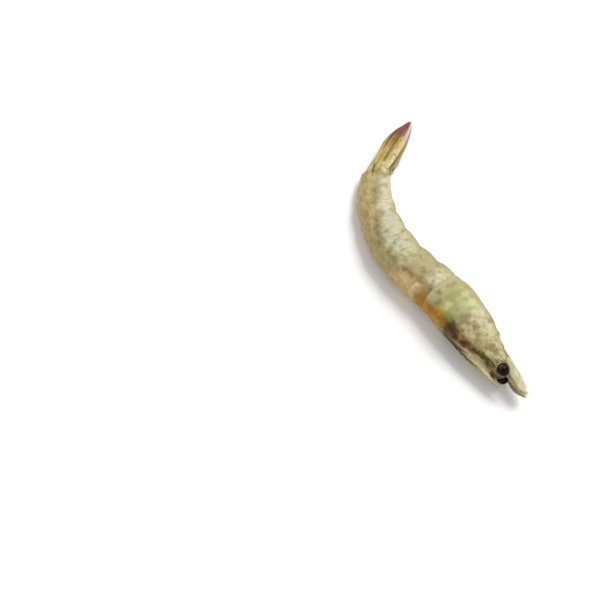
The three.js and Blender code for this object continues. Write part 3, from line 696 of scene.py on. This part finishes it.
ring_stations = [
    (0, 0.5, 0), (0, 0.5, 0.5), (0, 0.5, 0.9), (0, 0.25, 1),
    *((t, 0, 1) for t in spread(34, 0.01, 0.995)),
    (1, 0.08, 1), (1, 0.18, 1), (0.97, 0.28, 1), (0.9, 0.4, 1), (0.86, 0.7, 1),
    (0.85, 0.9, 0.9), (0.85, 0.9, 0.5), (0.85, 0.9, 0),
]
RING_LAP = 1.6  # how far a ring reaches in under the rim before it
for k in range(len(RINGS)):
    def ring_sizes(x, t):
        swell = 0.955 + 0.065 * smooth(t, 0.05, 0.9)
        crown = 0.9 * smooth(x, -60, -65) if k == LAST_RING else 0
        lobe = 1 if k == LAST_RING else 1 - 0.11 * abs(2 * min(max(t + 0.02, 0), 1) - 1) ** 2.4
        flap = flap_depth(x) * swell * lobe
        belly = min(flap_depth(x) * (0.86 if k == LAST_RING else 0.66), flap - 1.1)
        return back_height(x) * swell + crown, half_width(x) * swell, flap, belly

    def ring_relief(x, way, t, z):
        keel = 0.4 * bump(z, 0, 0.9) * (0, 0, 0.2, 0.7, 1, 1)[k]
        rim = 0.09 * bump(t, 0.985, 0.012) - 0.1 * bump(t, 0.95, 0.015)
        hinge = -0.2 * bump(way, 0.5, 0.03) * bump(t, 0.93, 0.05)
        bar = sum(
            0.9 * bump(x, root_x, 1.1) - 0.25 * bump(x, root_x - 2.6, 0.5) - 0.25 * bump(x, root_x - 4.4, 0.5)
            for root_x in PADDLE_ROOTS
        )
        return keel + rim + hinge + bar * smooth(way, 0.85, 0.91)

    bm = bmesh.new()
    cup(
        bm, lambda way: ring_edge(k - 1, way) + RING_LAP, lambda way: ring_edge(k, way), ring_sizes,
        ring_stations, columns=180, relief=ring_relief, tints=ring_tints,
    )
    piece(bm, "ring_%d_skin" % (k + 1), ring_paint, "body_ring_%d" % (k + 1))

# Tail fan.
# A narrow roof-shaped spike and, on each side, a stout root that carries two thin ribbed blades, all folded
# together to a bundle. The blades are yellow and see-through, with dark ribs, and purple-brown at their ends.
tail_paint, place, (x, y, z), (along, across, face), tints = start_paint("wet tail blade")
lines = noise(stretch(place, (0.12, 1.6, 1.6)), 1.0, 3, 0.6)
streaks = noise(stretch(place, (0.2, 2.2, 2.2)), 1.3)
patches = noise(place, 0.3)
sway = lines - 0.5
rib = ease((across + 0.2) ** 2, 0.06, 0.008) + ease(across, -0.88, -0.97)
under_tip = ease(along + sway * 0.3, 0.35, 0.6) * ease(across, 0.35, -0.1) * ease(across, -0.95, -0.6)
tip = coats(
    mix(ease(lines, 0.4, 0.62), "6a484c", "8e6352"),
    (ease(across, 0.3, 0.8) * 0.85, "dbbdb6"),
)
root_edge = ease(along, 0.42, 0.3) * ease(across, 0.52, 0.72)
tail_colour = coats(
    mix(ease(lines, 0.38, 0.62), "987c40", "cdb97e"),
    (ease(patches, 0.52, 0.66) * 0.45, "b0883f"),
    (ease(streaks, 0.55, 0.68) * 0.5, "e2d6aa"),
    (ease(across, 0.45, 0.8) * 0.6, "cfc291"),
    (rib * 0.65, "6a562a"),
    (ease(lines, 0.56, 0.7) * 0.6, "6f5e33"),
    (under_tip * 0.8, "7d6136"),
    (ease(along + sway * 0.2, 0.6, 0.74), tip),
    (ease(along + sway * 0.1, 0.93, 1.0) * 0.5, "a3949a"),
    (ease(along + sway * 0.1, 0.22, 0.06) * 0.35, "97965c"),
    # Whitish flecks near the roots are painted glints.
    (ease(patches, 0.42, 0.66) * ease(along, 0.22, 0.06) * 0.6, "ddd4ab"),
    (root_edge * 0.5, "d6ceaa"),
    (root_edge * ease(noise(place, 1.2), 0.53, 0.62) * 0.85, "4a3f2c"),
    (ease(face, 1.4, 1.6), "4a3d24"),
)
wet(tail_paint, tail_colour, lines, 0.12, 0.24 + lines * 0.12)


def blade(bm, rows, columns, middle, thickness):
    """Adds a thin closed blade. middle(u, v) is its middle surface, u from root to tip and v from -1 to 1
    across, and thickness(u, v) its thickness."""
    step = 0.004

    def place(share, turn_share):
        u = 0.5 - 0.5 * cos(pi * share)
        turn = 2 * pi * turn_share
        v = cos(turn)
        low_u, high_u = max(u - step, 0), min(u + step, 1)
        along = Vector(middle(high_u, v)) - Vector(middle(low_u, v))
        across = Vector(middle(u, v + step)) - Vector(middle(u, v - step))
        normal = along.cross(across).normalized()
        end = min(1, 25 * u, 25 * (1 - u)) ** 0.5
        rise = copysign(abs(sin(turn)) ** 0.45, sin(turn)) * end
        point = Vector(middle(u, v)) + normal * (thickness(u, v) / 2 * rise)
        return point, (u, v, rise)

    lay_sheet(bm, rows, columns, place)


def hull(bm, rows, columns, loops, reach):
    """Adds a closed form through loops of (x, y, z) points, drawn together at both ends. reach is how far
    along a tail blade's colours it goes."""
    def centre(loop):
        return tuple(sum(point[i] for point in loop) / len(loop) for i in range(3))

    last = len(loops) - 1

    def place(u, v):
        station = min(max((u * rows - 1) / (rows - 2), 0), 1) * last
        i = min(int(station), last - 1)
        t = station - i
        before, after = loop_point(loops[i], v % 1), loop_point(loops[i + 1], v % 1)
        point = [a + (b - a) * t for a, b in zip(before, after)]
        if u * rows < 0.5:
            point = centre(loops[0])
        elif u * rows > rows - 0.5:
            point = centre(loops[last])
        return point, (station / last * reach, 0.5, 0)  # at 0.5 across, the paint has no rib or edge

    lay_sheet(bm, rows, columns, place)


def hair(bm, start, end, radius):
    """Adds one fine bristle, thick at its start; its face mark of 2 tells it from a blade's own faces."""
    spots = bm.verts.layers.float_vector["place"]
    marks = bm.verts.layers.float_vector["marks"]
    start, end = Vector(start), Vector(end)
    along = (end - start).normalized()
    across = along.orthogonal().normalized()
    other = along.cross(across)
    made = bmesh.ops.create_cone(
        bm, cap_ends=True, cap_tris=True, segments=3, radius1=1, radius2=0.25, depth=1,
    )  # along z, and moved to its place below
    for vert in made["verts"]:
        base = start.lerp(end, vert.co.z + 0.5)
        point = base + (across * vert.co.x + other * vert.co.y) * radius
        vert[spots] = point
        vert[marks] = Vector((0.3, 0, 2))
        vert.co = bend(*point)


def fringe(bm, count, edge, direction, length, seed, radius=0.045):
    """Adds a row of bristles along edge(u), each pointing about the way of direction(u)."""
    draw = random.Random(seed)
    for i in range(count):
        u = (i + 0.5 + draw.uniform(-0.3, 0.3)) / count
        root = Vector(edge(u))
        way = Vector(direction(u)).normalized()
        stray = Vector([draw.uniform(-0.12, 0.12) for _ in range(3)])
        hair(bm, root - way * 0.2, root + (way + stray) * length * draw.uniform(0.75, 1.1), radius)


SPIKE_LENGTH = 22
spike_loops = []
for u in (0, 0.06, 0.12, 0.22, 0.35, 0.48, 0.6, 0.72, 0.82, 0.9, 0.95, 0.985, 1):
    spike_half = 2.9 * (1 - u) ** 0.7 + 0.2
    top, low = 5.5 - 1.6 * smooth(u, 0, 0.8), 2.9 + 0.3 * u
    ridge_half = 0.55 * (1 - 0.6 * u)
    groove = 0.3 * smooth(u, 0.05, 0.2)
    left = [(-(top + low) / 2 - 0.3, spike_half * 0.62), (-low - 0.3, spike_half), (-low, spike_half * 0.8)]
    right = [(y, -z) for y, z in reversed(left)]
    loop = [(groove - top, 0), (-top, ridge_half)] + left + [(-low - 0.15, 0)] + right + [(-top, -ridge_half)]
    spike_loops.append([(-ABDOMEN - 0.5 - SPIKE_LENGTH * u, y, z) for y, z in loop])
bm = bmesh.new()
hull(bm, 60, 48, spike_loops, reach=0.62)
skin(bm, "tail_spike", tail_paint)

BLADE_HALF = profile([
    (0, 0.7), (0.12, 0.85), (0.35, 0.97), (0.55, 0.95), (0.75, 0.78), (0.9, 0.5), (1, 0.12),
])
TAIL_LENGTH = 31
# start, length and half width, the middle line, its distance from the prawn's middle, tilt and hollow
TAIL_BLADES = {
    "inner": (
        4.2, TAIL_LENGTH - 3, 2.7, [(0, -1.2), (0.5, -1.7), (1, -0.6)], [(0, 2.8), (0.5, 2.0), (1, 0.8)],
        radians(-8), 0.2,
    ),
    "outer": (
        3.0, TAIL_LENGTH, 3.4, [(0, 0.8), (0.4, 0.9), (0.8, 1.0), (1, 1.3)], [(0, 4.1), (0.4, 3.7), (1, 1.7)],
        radians(2), 0.7,
    ),
}
# place along, middle line, distance from the prawn's middle, and half height and half width of the root
ROOT_STATIONS = (
    (2.4, 0.9, 2.2, 1.6, 0.9), (1.6, 0.9, 2.3, 2.6, 1.4), (0, 0.9, 2.4, 3.1, 1.7), (-1.6, 0.8, 2.6, 3.3, 1.8),
    (-3.2, 0.7, 2.8, 3.2, 1.6), (-4.6, 0.7, 3, 2.8, 1.2), (-5.6, 0.8, 3.1, 2.1, 0.8),
    (-6.2, 0.9, 3.2, 1.2, 0.4),
)
SIDES = (("left", 1), ("right", -1))
for label, side in SIDES:
    root_loops = [
        [
            (dx - ABDOMEN - 0.3, mid_y + high * cos(turn), side * (mid_z + wide * sin(turn)))
            for turn in (radians(30 * j) for j in range(12))
        ]
        for dx, mid_y, mid_z, high, wide in ROOT_STATIONS
    ]
    bm = bmesh.new()
    hull(bm, 36, 36, root_loops, reach=0.1)
    skin(bm, "tail_root_" + label, tail_paint)
    for kind, (start, length, width, mids, outs, tilt, hollow) in TAIL_BLADES.items():
        mid_line, out_line = profile(mids), profile(outs)

        def tail_middle(u, v):
            off = v * BLADE_HALF(u) * width
            return (
                -ABDOMEN - start - (length - start) * u,
                mid_line(u) + off * cos(tilt),
                side * (out_line(u) + off * sin(tilt) - hollow * v * v * BLADE_HALF(u)),
            )

        def tail_thickness(u, v):
            neck = 0.7 * (1 - smooth(u, 0, 0.2))
            ribs = 0.4 * bump(v, -0.2, 0.07) + 0.2 * bump(abs(v), 0.5, 0.05) + 0.25 * bump(v, 0.92, 0.08)
            return 0.42 + neck + ribs * (1 - u)

        bm = bmesh.new()
        blade(bm, 60, 64, tail_middle, tail_thickness)
        fringe(
            bm, 90, lambda u: tail_middle(0.45 + 0.55 * u, -0.98),
            lambda u: (-1, -0.9 + 0.5 * u, 0), length=1.0, seed=len(kind) + side,
        )
        fringe(
            bm, 60, lambda u: tail_middle(0.55 + 0.45 * u, 0.98),
            lambda u: (-1, 0.7 - 0.4 * u, 0), length=0.8, seed=11 + len(kind) + side,
        )
        if kind == "outer":
            fringe(
                bm, 34, lambda u: tail_middle(0.02 + 0.4 * u, 0.95),
                lambda u: (-0.8, 0.8, 0.2 * side), length=1.2, seed=21 + side, radius=0.09,
            )
        skin(bm, "tail_%s_blade_%s" % (kind, label), tail_paint)

# Eyes.
# Two black glassy balls, each held in the cup of a short movable stalk that stands out under the beak.
eye_paint, place, *others = start_paint("black eye")
PAINTED_EYE_HIGHLIGHT = (41.1, -2.0, 6.6)  # the middle of a painted highlight on the left eye
facets = place.node("ShaderNodeTexVoronoi", None, {"Vector": place, "Scale": 7.0})
from_painted_highlight = place.node(
    "ShaderNodeVectorMath", {"operation": "DISTANCE"}, {0: place, 1: PAINTED_EYE_HIGHLIGHT}, output="Value",
)
eye_colour = coats(
    mix(ease(noise(place, 0.6), 0.45, 0.7), (0.008, 0.003, 0.001, 1), (0.022, 0.009, 0.002, 1)),
    # A painted highlight: lighter purple-grey round one point of the left eye.
    (ease(from_painted_highlight, 1.5, 0.2) * 0.45, "6a5a58"),
)
wet(eye_paint, eye_colour, facets, 0.002, 0.12 + facets * 0.04, flesh=0, mirror=0.12)
stalk_paint, place, *others = start_paint("eye stalk")
spots = dots(place, 2.2, 0.22)
stalk_colour = coats(
    mix(ease(noise(place, 0.8), 0.4, 0.6), "857848", "aca070"),
    (spots * 0.8, "4a3a20"),
)
wet(stalk_paint, stalk_colour, noise(place, 1.5), 0.06, 0.25 + spots * 0.1)
EYES = {"left": Vector((42.0, -1.4, 4.6)), "right": Vector((41.6, -0.4, -4.0))}
EYE_RADIUS = 2.45
STALK = Vector((4.2, -1.4, 3.4))  # from the left stalk's root to the middle of its eye
STALK_OUTLINE = (  # distance from the root and radius, up the outside and down into the cup
    (-0.6, 0), (-0.5, 0.7), (0, 1.15), (1.5, 1.3), (2.6, 1.7), (3.4, 2.25), (4.2, 2.6), (4.8, 2.72),
    (5.1, 2.68), (5, 2.5), (4.4, 2.2), (3.9, 1.2), (3.7, 0),
)
stalk_distance = profile([(i, distance) for i, (distance, radius) in enumerate(STALK_OUTLINE)])
stalk_radius = profile([(i, radius) for i, (distance, radius) in enumerate(STALK_OUTLINE)])


def cross_axes(along):
    """Two directions at right angles to along and to each other, the first as near to z as can be."""
    wide = Vector((0, 0, 1))
    wide = (wide - along * wide.dot(along)).normalized()
    return wide, along.cross(wide)


def article(bm, start, end, first, last, flat=1.0, sides=16, rows=18, bow=0.0, flare=0.1):
    """Adds one closed link of a limb, from radius first to last: narrow where it leaves the link before it, a
    little wider at its far end and round at both. flat is its height over its width."""
    start, end = Vector(start), Vector(end)
    length = (end - start).length
    wide, high = cross_axes((end - start) / length)

    def place(u, v):
        share = 0.5 - 0.5 * cos(pi * u)
        radius = first + (last - first) * share
        radius *= (0.78 + 0.22 * smooth(share, 0, 0.22)) * (1 + flare * bump(share, 0.88, 0.12))
        cap = min(1, share * length / (0.8 * first), (1 - share) * length / (0.8 * last))
        radius *= sqrt(max(1 - (1 - cap) ** 2, 0))
        turn = 2 * pi * v
        off = wide * (cos(turn) * radius)
        off += high * (sin(turn) * radius * flat + bow * 4 * share * (1 - share))
        return start.lerp(end, share) + off, (share, cos(turn), 0)

    lay_sheet(bm, rows, sides, place)


def ball(u, v):
    """A point of a ball of radius 1 as (along, across, across), u running along it from pole to pole."""
    return cos(pi * u), sin(pi * u) * cos(2 * pi * v), sin(pi * u) * sin(2 * pi * v)


def front_place(u, v):
    """A point of the flesh between the eyes, which closes the front of the head shell."""
    along, high, wide = ball(u, v)
    return (37.8 + 4.4 * along, -0.3 + 4.0 * high, 4.6 * wide), (u, v, 0)


bm = bmesh.new()
lay_sheet(bm, 24, 32, front_place)
piece(bm, "head_front", stalk_paint, "head_shell")

for label, side in SIDES:
    centre = EYES[label]

    def eye_place(u, v):
        high, along, wide = ball(u, v)
        return centre + Vector((1.1 * along, high, 0.95 * wide)) * EYE_RADIUS, (u, v, 0)

    bm = bmesh.new()
    lay_sheet(bm, 32, 48, eye_place)
    piece(bm, "eye_ball_" + label, eye_paint, "eye_" + label)

    root = centre - Vector((STALK.x, STALK.y, STALK.z * side))
    stalk_along = (centre - root).normalized()
    stalk_wide = stalk_along.orthogonal().normalized()
    stalk_high = stalk_along.cross(stalk_wide)

    def stalk_place(u, v):
        turn, station = 2 * pi * v, u * (len(STALK_OUTLINE) - 1)
        off = (stalk_wide * cos(turn) + stalk_high * sin(turn)) * max(stalk_radius(station), 0)
        return root + stalk_along * stalk_distance(station) + off, (u, cos(turn), 0)

    bm = bmesh.new()
    lay_sheet(bm, 72, 48, stalk_place)
    piece(bm, "eye_stalk_" + label, stalk_paint, "eye_" + label)

# Feelers and feeler scales.
# Under the beak lie the jointed stems of the small feelers with their two short whips, the stout roots of the
# long feelers, whose whips are snapped off, and outside them two broad thin scales with a stiff outer edge.
scale_paint, place, (x, y, z), (along, across, face), tints = start_paint("feeler scale")
veins = noise(stretch(place, (0.25, 1.5, 1.5)), 0.9, 3, 0.6)
scale_colour = coats(
    mix(ease(veins, 0.35, 0.65), "aca47c", "d3ccab"),
    (dots(place, 1.8, 0.2) * 0.6, "6b6242"),
    (ease(across, -0.75, -0.95) * 0.7, "6c6440"),
    (ease(along, 0.42, 0.15) * 0.6, "a5a08a"),
    # Painted highlight: the outer side, along the stiff edge, is painted lighter.
    (ease(across, 0.5, 0.95) * 0.6, "ddd8bf"),
    (ease(along, 0.65, 0.95) * 0.5, "dcd3b4"),
)
wet(scale_paint, scale_colour, veins, 0.08, 0.26 + veins * 0.12)
feeler_paint, place, *others = start_paint("feeler")
grain = noise(place, 1.1, 3, 0.6)
feeler_colour = coats(
    mix(ease(grain, 0.35, 0.65), "b6a983", "d9cfae"),
    (dots(place, 1.9, 0.22) * 0.7, "6a5a38"),
)
wet(feeler_paint, feeler_colour, grain, 0.06, 0.26 + grain * 0.12)


def whip(bm, joints, rows, rings):
    """Adds a thin tapering whip through (x, y, z, radius) joints; rings is the share by which its fine rings
    stand out."""
    last = len(joints) - 1
    line = [joints[0], *joints, joints[last]]

    def at(share):
        station = min(max(share, 0), 1) * last
        i = min(int(station), last - 1)
        *middle, radius = between(*line[i:i + 4], station - i)
        return Vector(middle), radius

    def place(u, v):
        middle, radius = at(u)
        wide, high = cross_axes((at(u + 0.01)[0] - at(u - 0.01)[0]).normalized())
        radius *= (1 + rings * sin(u * rows * 2.1)) * min(1, 30 * u, 30 * (1 - u)) ** 0.5
        turn = 2 * pi * v
        return middle + (wide * cos(turn) + high * sin(turn)) * radius, (u, cos(turn), 0)

    lay_sheet(bm, rows, 10, place)


def links(bm, joints, lap, first_share, last_share, flat):
    """Adds a link between each two (x, y, z, radius) joints of a limb, a little longer than between them."""
    for (ax, ay, az, first), (bx, by, bz, last) in zip(joints, joints[1:]):
        article(bm, (ax - 0.3, ay, az), (bx + lap, by, bz), first * first_share, last * last_share, flat)


def on_side(side, joints):
    """The left side's joints, on the left for side 1 or on the right for -1."""
    return [(x, y, z * side, *radius) for x, y, z, *radius in joints]


STEM = ((38.6, 1.6, 1.5, 1.1), (43.7, 1.1, 1.7, 1.05), (47.7, 0.8, 1.8, 0.85), (50.4, 0.7, 1.8, 0.6))
SHORT_WHIPS = (
    ((49.6, 0.6, 1.7, 0.4), (52.2, 0.7, 1.2, 0.3), (54.8, 1, 0.9, 0.16)),
    ((49.6, 0.8, 1.4, 0.4), (52, 1.4, 0.9, 0.3), (54.2, 2.1, 0.6, 0.16)),
)
LONG_ROOT = (  # start and end of each link, and its radius there
    ((37.6, 3.6, 1.6), (40.8, 3.75, 1.85), 1.2, 1.25), ((40.3, 3.7, 1.8), (42.6, 3.45, 2), 1.15, 1),
    ((42.2, 3.5, 2), (44.5, 3.3, 2), 0.95, 0.7),
)
STUB = ((44.0, 3.3, 2.0, 0.55), (48.0, 2.9, 1.7, 0.42), (52.0, 2.6, 1.2, 0.32))
SCALE_ROOT, SCALE_LENGTH = 39.2, 15.0
scale_mid = profile([(0, 3.0), (0.4, 1.8), (0.75, 1.0), (1, 0.8)])
scale_out = profile([(0, 3.4), (0.5, 3.3), (1, 1.9)])
scale_half = profile([(0, 1.1), (0.2, 1.8), (0.45, 2.2), (0.7, 2.0), (0.9, 1.0), (1, 0.3)])
for label, side in SIDES:
    bm = bmesh.new()
    links(bm, on_side(side, STEM), lap=0.2, first_share=0.95, last_share=1, flat=0.85)
    for joints in SHORT_WHIPS:
        whip(bm, on_side(side, joints), 40, rings=0.08)
    skin(bm, "small_feeler_" + label, feeler_paint)

    bm = bmesh.new()
    for start, end, first, last in LONG_ROOT:
        article(bm, *on_side(side, (start, end)), first, last)
    whip(bm, on_side(side, STUB), 60, rings=0.06)
    skin(bm, "long_feeler_" + label, feeler_paint)

    def scale_middle(u, v):
        hollow = 0.35 * v * v + 0.4 * v * (1 - u)
        return SCALE_ROOT + SCALE_LENGTH * u, scale_mid(u) + v * scale_half(u), side * (scale_out(u) - hollow)

    def scale_thickness(u, v):
        ribs = 0.25 * bump(v, 0.85, 0.12) + 0.12 * bump(v, 0.3, 0.06) + 0.1 * bump(v, -0.2, 0.05)
        return (0.45 + 0.4 * (1 - u)) * (1 - 0.3 * v * v) + ribs * (1 - 0.5 * u)

    bm = bmesh.new()
    blade(bm, 48, 48, scale_middle, scale_thickness)
    fringe(
        bm, 60, lambda u: scale_middle(0.35 + 0.62 * u, -0.98), lambda u: (1, -0.7, 0), length=0.7,
        seed=31 + side,
    )
    skin(bm, "feeler_scale_" + label, scale_paint)

# Mouth legs and walking legs.
# Slender jointed legs of thin shell, folded back in a pale sheaf under the head: one outer mouth leg, three
# walking legs that end in small claws and two that end in a plain point, on each side.
leg_paint, place, (x, y, z), (along, across, face), tints = start_paint("wet leg")
grain = noise(place, 0.9, 3, 0.6)
leg_colour = coats(
    mix(ease(grain, 0.35, 0.65), "cbbc91", "dfd2ac"),
    (ease(noise(place, 0.35, 1), 0.5, 0.65) * 0.5, "d9b892"),
    (ease(along, 0.86, 1.0) * 0.55, "c99a5c"),
    (dots(place, 1.7, ease(noise(place, 0.4, 1), 0.45, 0.7) * 0.26) * 0.7, "7b6a44"),
)
wet(leg_paint, leg_colour, grain, 0.06, 0.26 + grain * 0.12, depth=1.6)

LEGS = (  # of each walking leg, the knee and the tip, from its hip and the shell's edge, and if it has a claw
    ((5.5, -1.12), (-1.5, -1.12), True), ((5.8, -1.18), (-2.5, -1.08), True),
    ((6.2, -1.12), (-3.5, -0.92), True), ((6, -0.88), (-4.5, -0.72), False),
    ((5.6, -0.64), (-4.5, -0.8), False),
)
MOUTH_LEG = (
    (31, 4.6, 1.6, 1.1), (33, 5.6, 1.7, 1), (38.5, 4.9, 1.5, 0.85), (43.5, 4.2, 1.2, 0.6),
    (46.5, 3.7, 1, 0.25),
)
lie = random.Random(5)
for label, side in SIDES:
    bm = bmesh.new()
    links(bm, on_side(side, MOUTH_LEG), lap=0.3, first_share=0.9, last_share=0.95, flat=0.7)
    for seed, out in ((51, 0.5), (53, -0.5)):
        fringe(
            bm, 70, lambda u: (33 + 13 * u, 5.6 - 1.7 * u, (1.6 + out - (0.5 + out * 0.6) * u) * side),
            lambda u: (0.7, 0.5, out * 1.4 * side), length=0.9, seed=seed + side,
        )
    skin(bm, "mouth_leg_" + label, leg_paint)

    for k, (hip, (knee, tip, claw)) in enumerate(zip(LEG_HIPS, LEGS)):
        lane = 2.9 + 0.12 * k
        outer = lane + 1.7

        def leg_point(x, y, z, stray=0.0):
            return Vector((x, y + lie.uniform(-stray, stray), (z + lie.uniform(-stray, stray)) * side))

        knee_x, tip_x = hip + knee[0], hip + tip[0]
        socket = leg_point(hip - 0.9, shell_depth(hip) - 2.9, 1.3)
        hip_end = leg_point(hip + 0.2, shell_depth(hip) - 1.1, 2.5)
        knee_end = leg_point(knee_x + 0.4, shell_depth(knee_x) + knee[1], lane + 0.1, 0.2)
        wrist = leg_point(knee_x - 2.6, knee_end.y + 0.3, outer, 0.2)
        hand = leg_point(tip_x + 2.7, shell_depth(tip_x + 2.7) + tip[1], outer, 0.2)
        end = Vector((tip_x - 0.1, shell_depth(tip_x) + tip[1], hand.z))
        bm = bmesh.new()
        article(bm, socket, hip_end, 1.3, 1.15)
        knee_start = hip_end + Vector((-0.4, -0.5, -0.4 * side))
        article(bm, knee_start, knee_end, 0.86, 0.64, bow=0.25 * side, rows=28)
        article(bm, knee_end + Vector((0.2, 0, 0)), wrist, 0.56, 0.54)
        article(bm, wrist + Vector((0.3, 0, 0)), hand, 0.46, 0.56 if claw else 0.36, flat=0.85)
        if claw:
            for apart in (0.26, -0.26):
                article(
                    bm, hand + Vector((0.5, 0, apart)), end + Vector((0, 0, apart * 0.5)), 0.34, 0.12,
                    flare=0, bow=0.12 * apart * side, rows=14, sides=12,
                )
        else:
            article(bm, hand + Vector((0.3, 0, 0)), end, 0.34, 0.09, flare=0)
        skin(bm, "walking_leg_%d_%s" % (k + 1, label), leg_paint)

# Swimming legs.
# Five pairs of soft paddles swept back along the belly between the side plates: a stout base and two thin
# leaves edged with bristles, yellow and see-through with brown colour cells.
paddle_paint, place, (x, y, z), (along, across, face), tints = start_paint("swimming leg")
grain = noise(stretch(place, (0.5, 1.2, 1.2)), 0.9, 3, 0.6)
paddle_colour = coats(
    mix(ease(grain, 0.35, 0.65), "cfc190", "ebe3c2"),
    (ease(noise(place, 0.4), 0.5, 0.68) * 0.5, "cfa36c"),
    (ease(across * across, 0.5, 0.95) * 0.5, "c08a62"),
    (dots(place, 2.1, ease(noise(place, 0.35, 1), 0.45, 0.7) * 0.26) * 0.6, "7b6038"),
)
wet(paddle_paint, paddle_colour, grain, 0.06, 0.26 + grain * 0.12)
LEAF_HALF = profile([(0, 0.5), (0.18, 1.15), (0.5, 1.45), (0.8, 1.05), (0.95, 0.45), (1, 0.1)])
# distance from the prawn's middle, length, width, how far it is tucked in, and twist of the two leaves
LEAVES = ((3.5, 9.0, 1.2, 0, 0.2), (1.9, 7.2, 0.95, 0.4, -0.2))
for label, side in SIDES:
    for k, root_x in enumerate(PADDLE_ROOTS):
        depth = flap_depth(root_x)
        size = 1 - 0.07 * k
        bm = bmesh.new()
        article(
            bm, (root_x + 0.9, depth * 0.5, 2.2 * side), (root_x - 2.6, depth * 0.78, 3.0 * side),
            1.5 * size, 1.7 * size, flat=0.65, flare=0.05, rows=24, sides=24,
        )
        for leaf, (mid_z, length, width, tuck, twist) in enumerate(LEAVES):
            def leaf_middle(u, v):
                x = root_x - 1.7 - length * size * u
                wide = v * LEAF_HALF(u) * width * size
                y = flap_depth(x) * 0.82 - tuck + 0.2 * sin(3 * u) + wide * twist * 0.5
                return x, y, side * (mid_z - 0.5 * tuck * u + wide)

            def leaf_thickness(u, v):
                ribs = 0.14 * bump(v, 0, 0.1) + 0.05 * cos(14 * v)
                return 0.5 - 0.22 * u + ribs * (1 - u)

            blade(bm, 40, 40, leaf_middle, leaf_thickness)
            for rim in (-0.97, 0.97):
                fringe(
                    bm, 55, lambda u: leaf_middle(0.25 + 0.74 * u, rim),
                    lambda u: (-1, 0.1, 0.7 * rim * side * (1 - 0.7 * u)), length=1.2,
                    seed=71 + k + side + leaf * 9 + rim,
                )
        skin(bm, "swimming_leg_%d_%s" % (k + 1, label), paddle_paint)
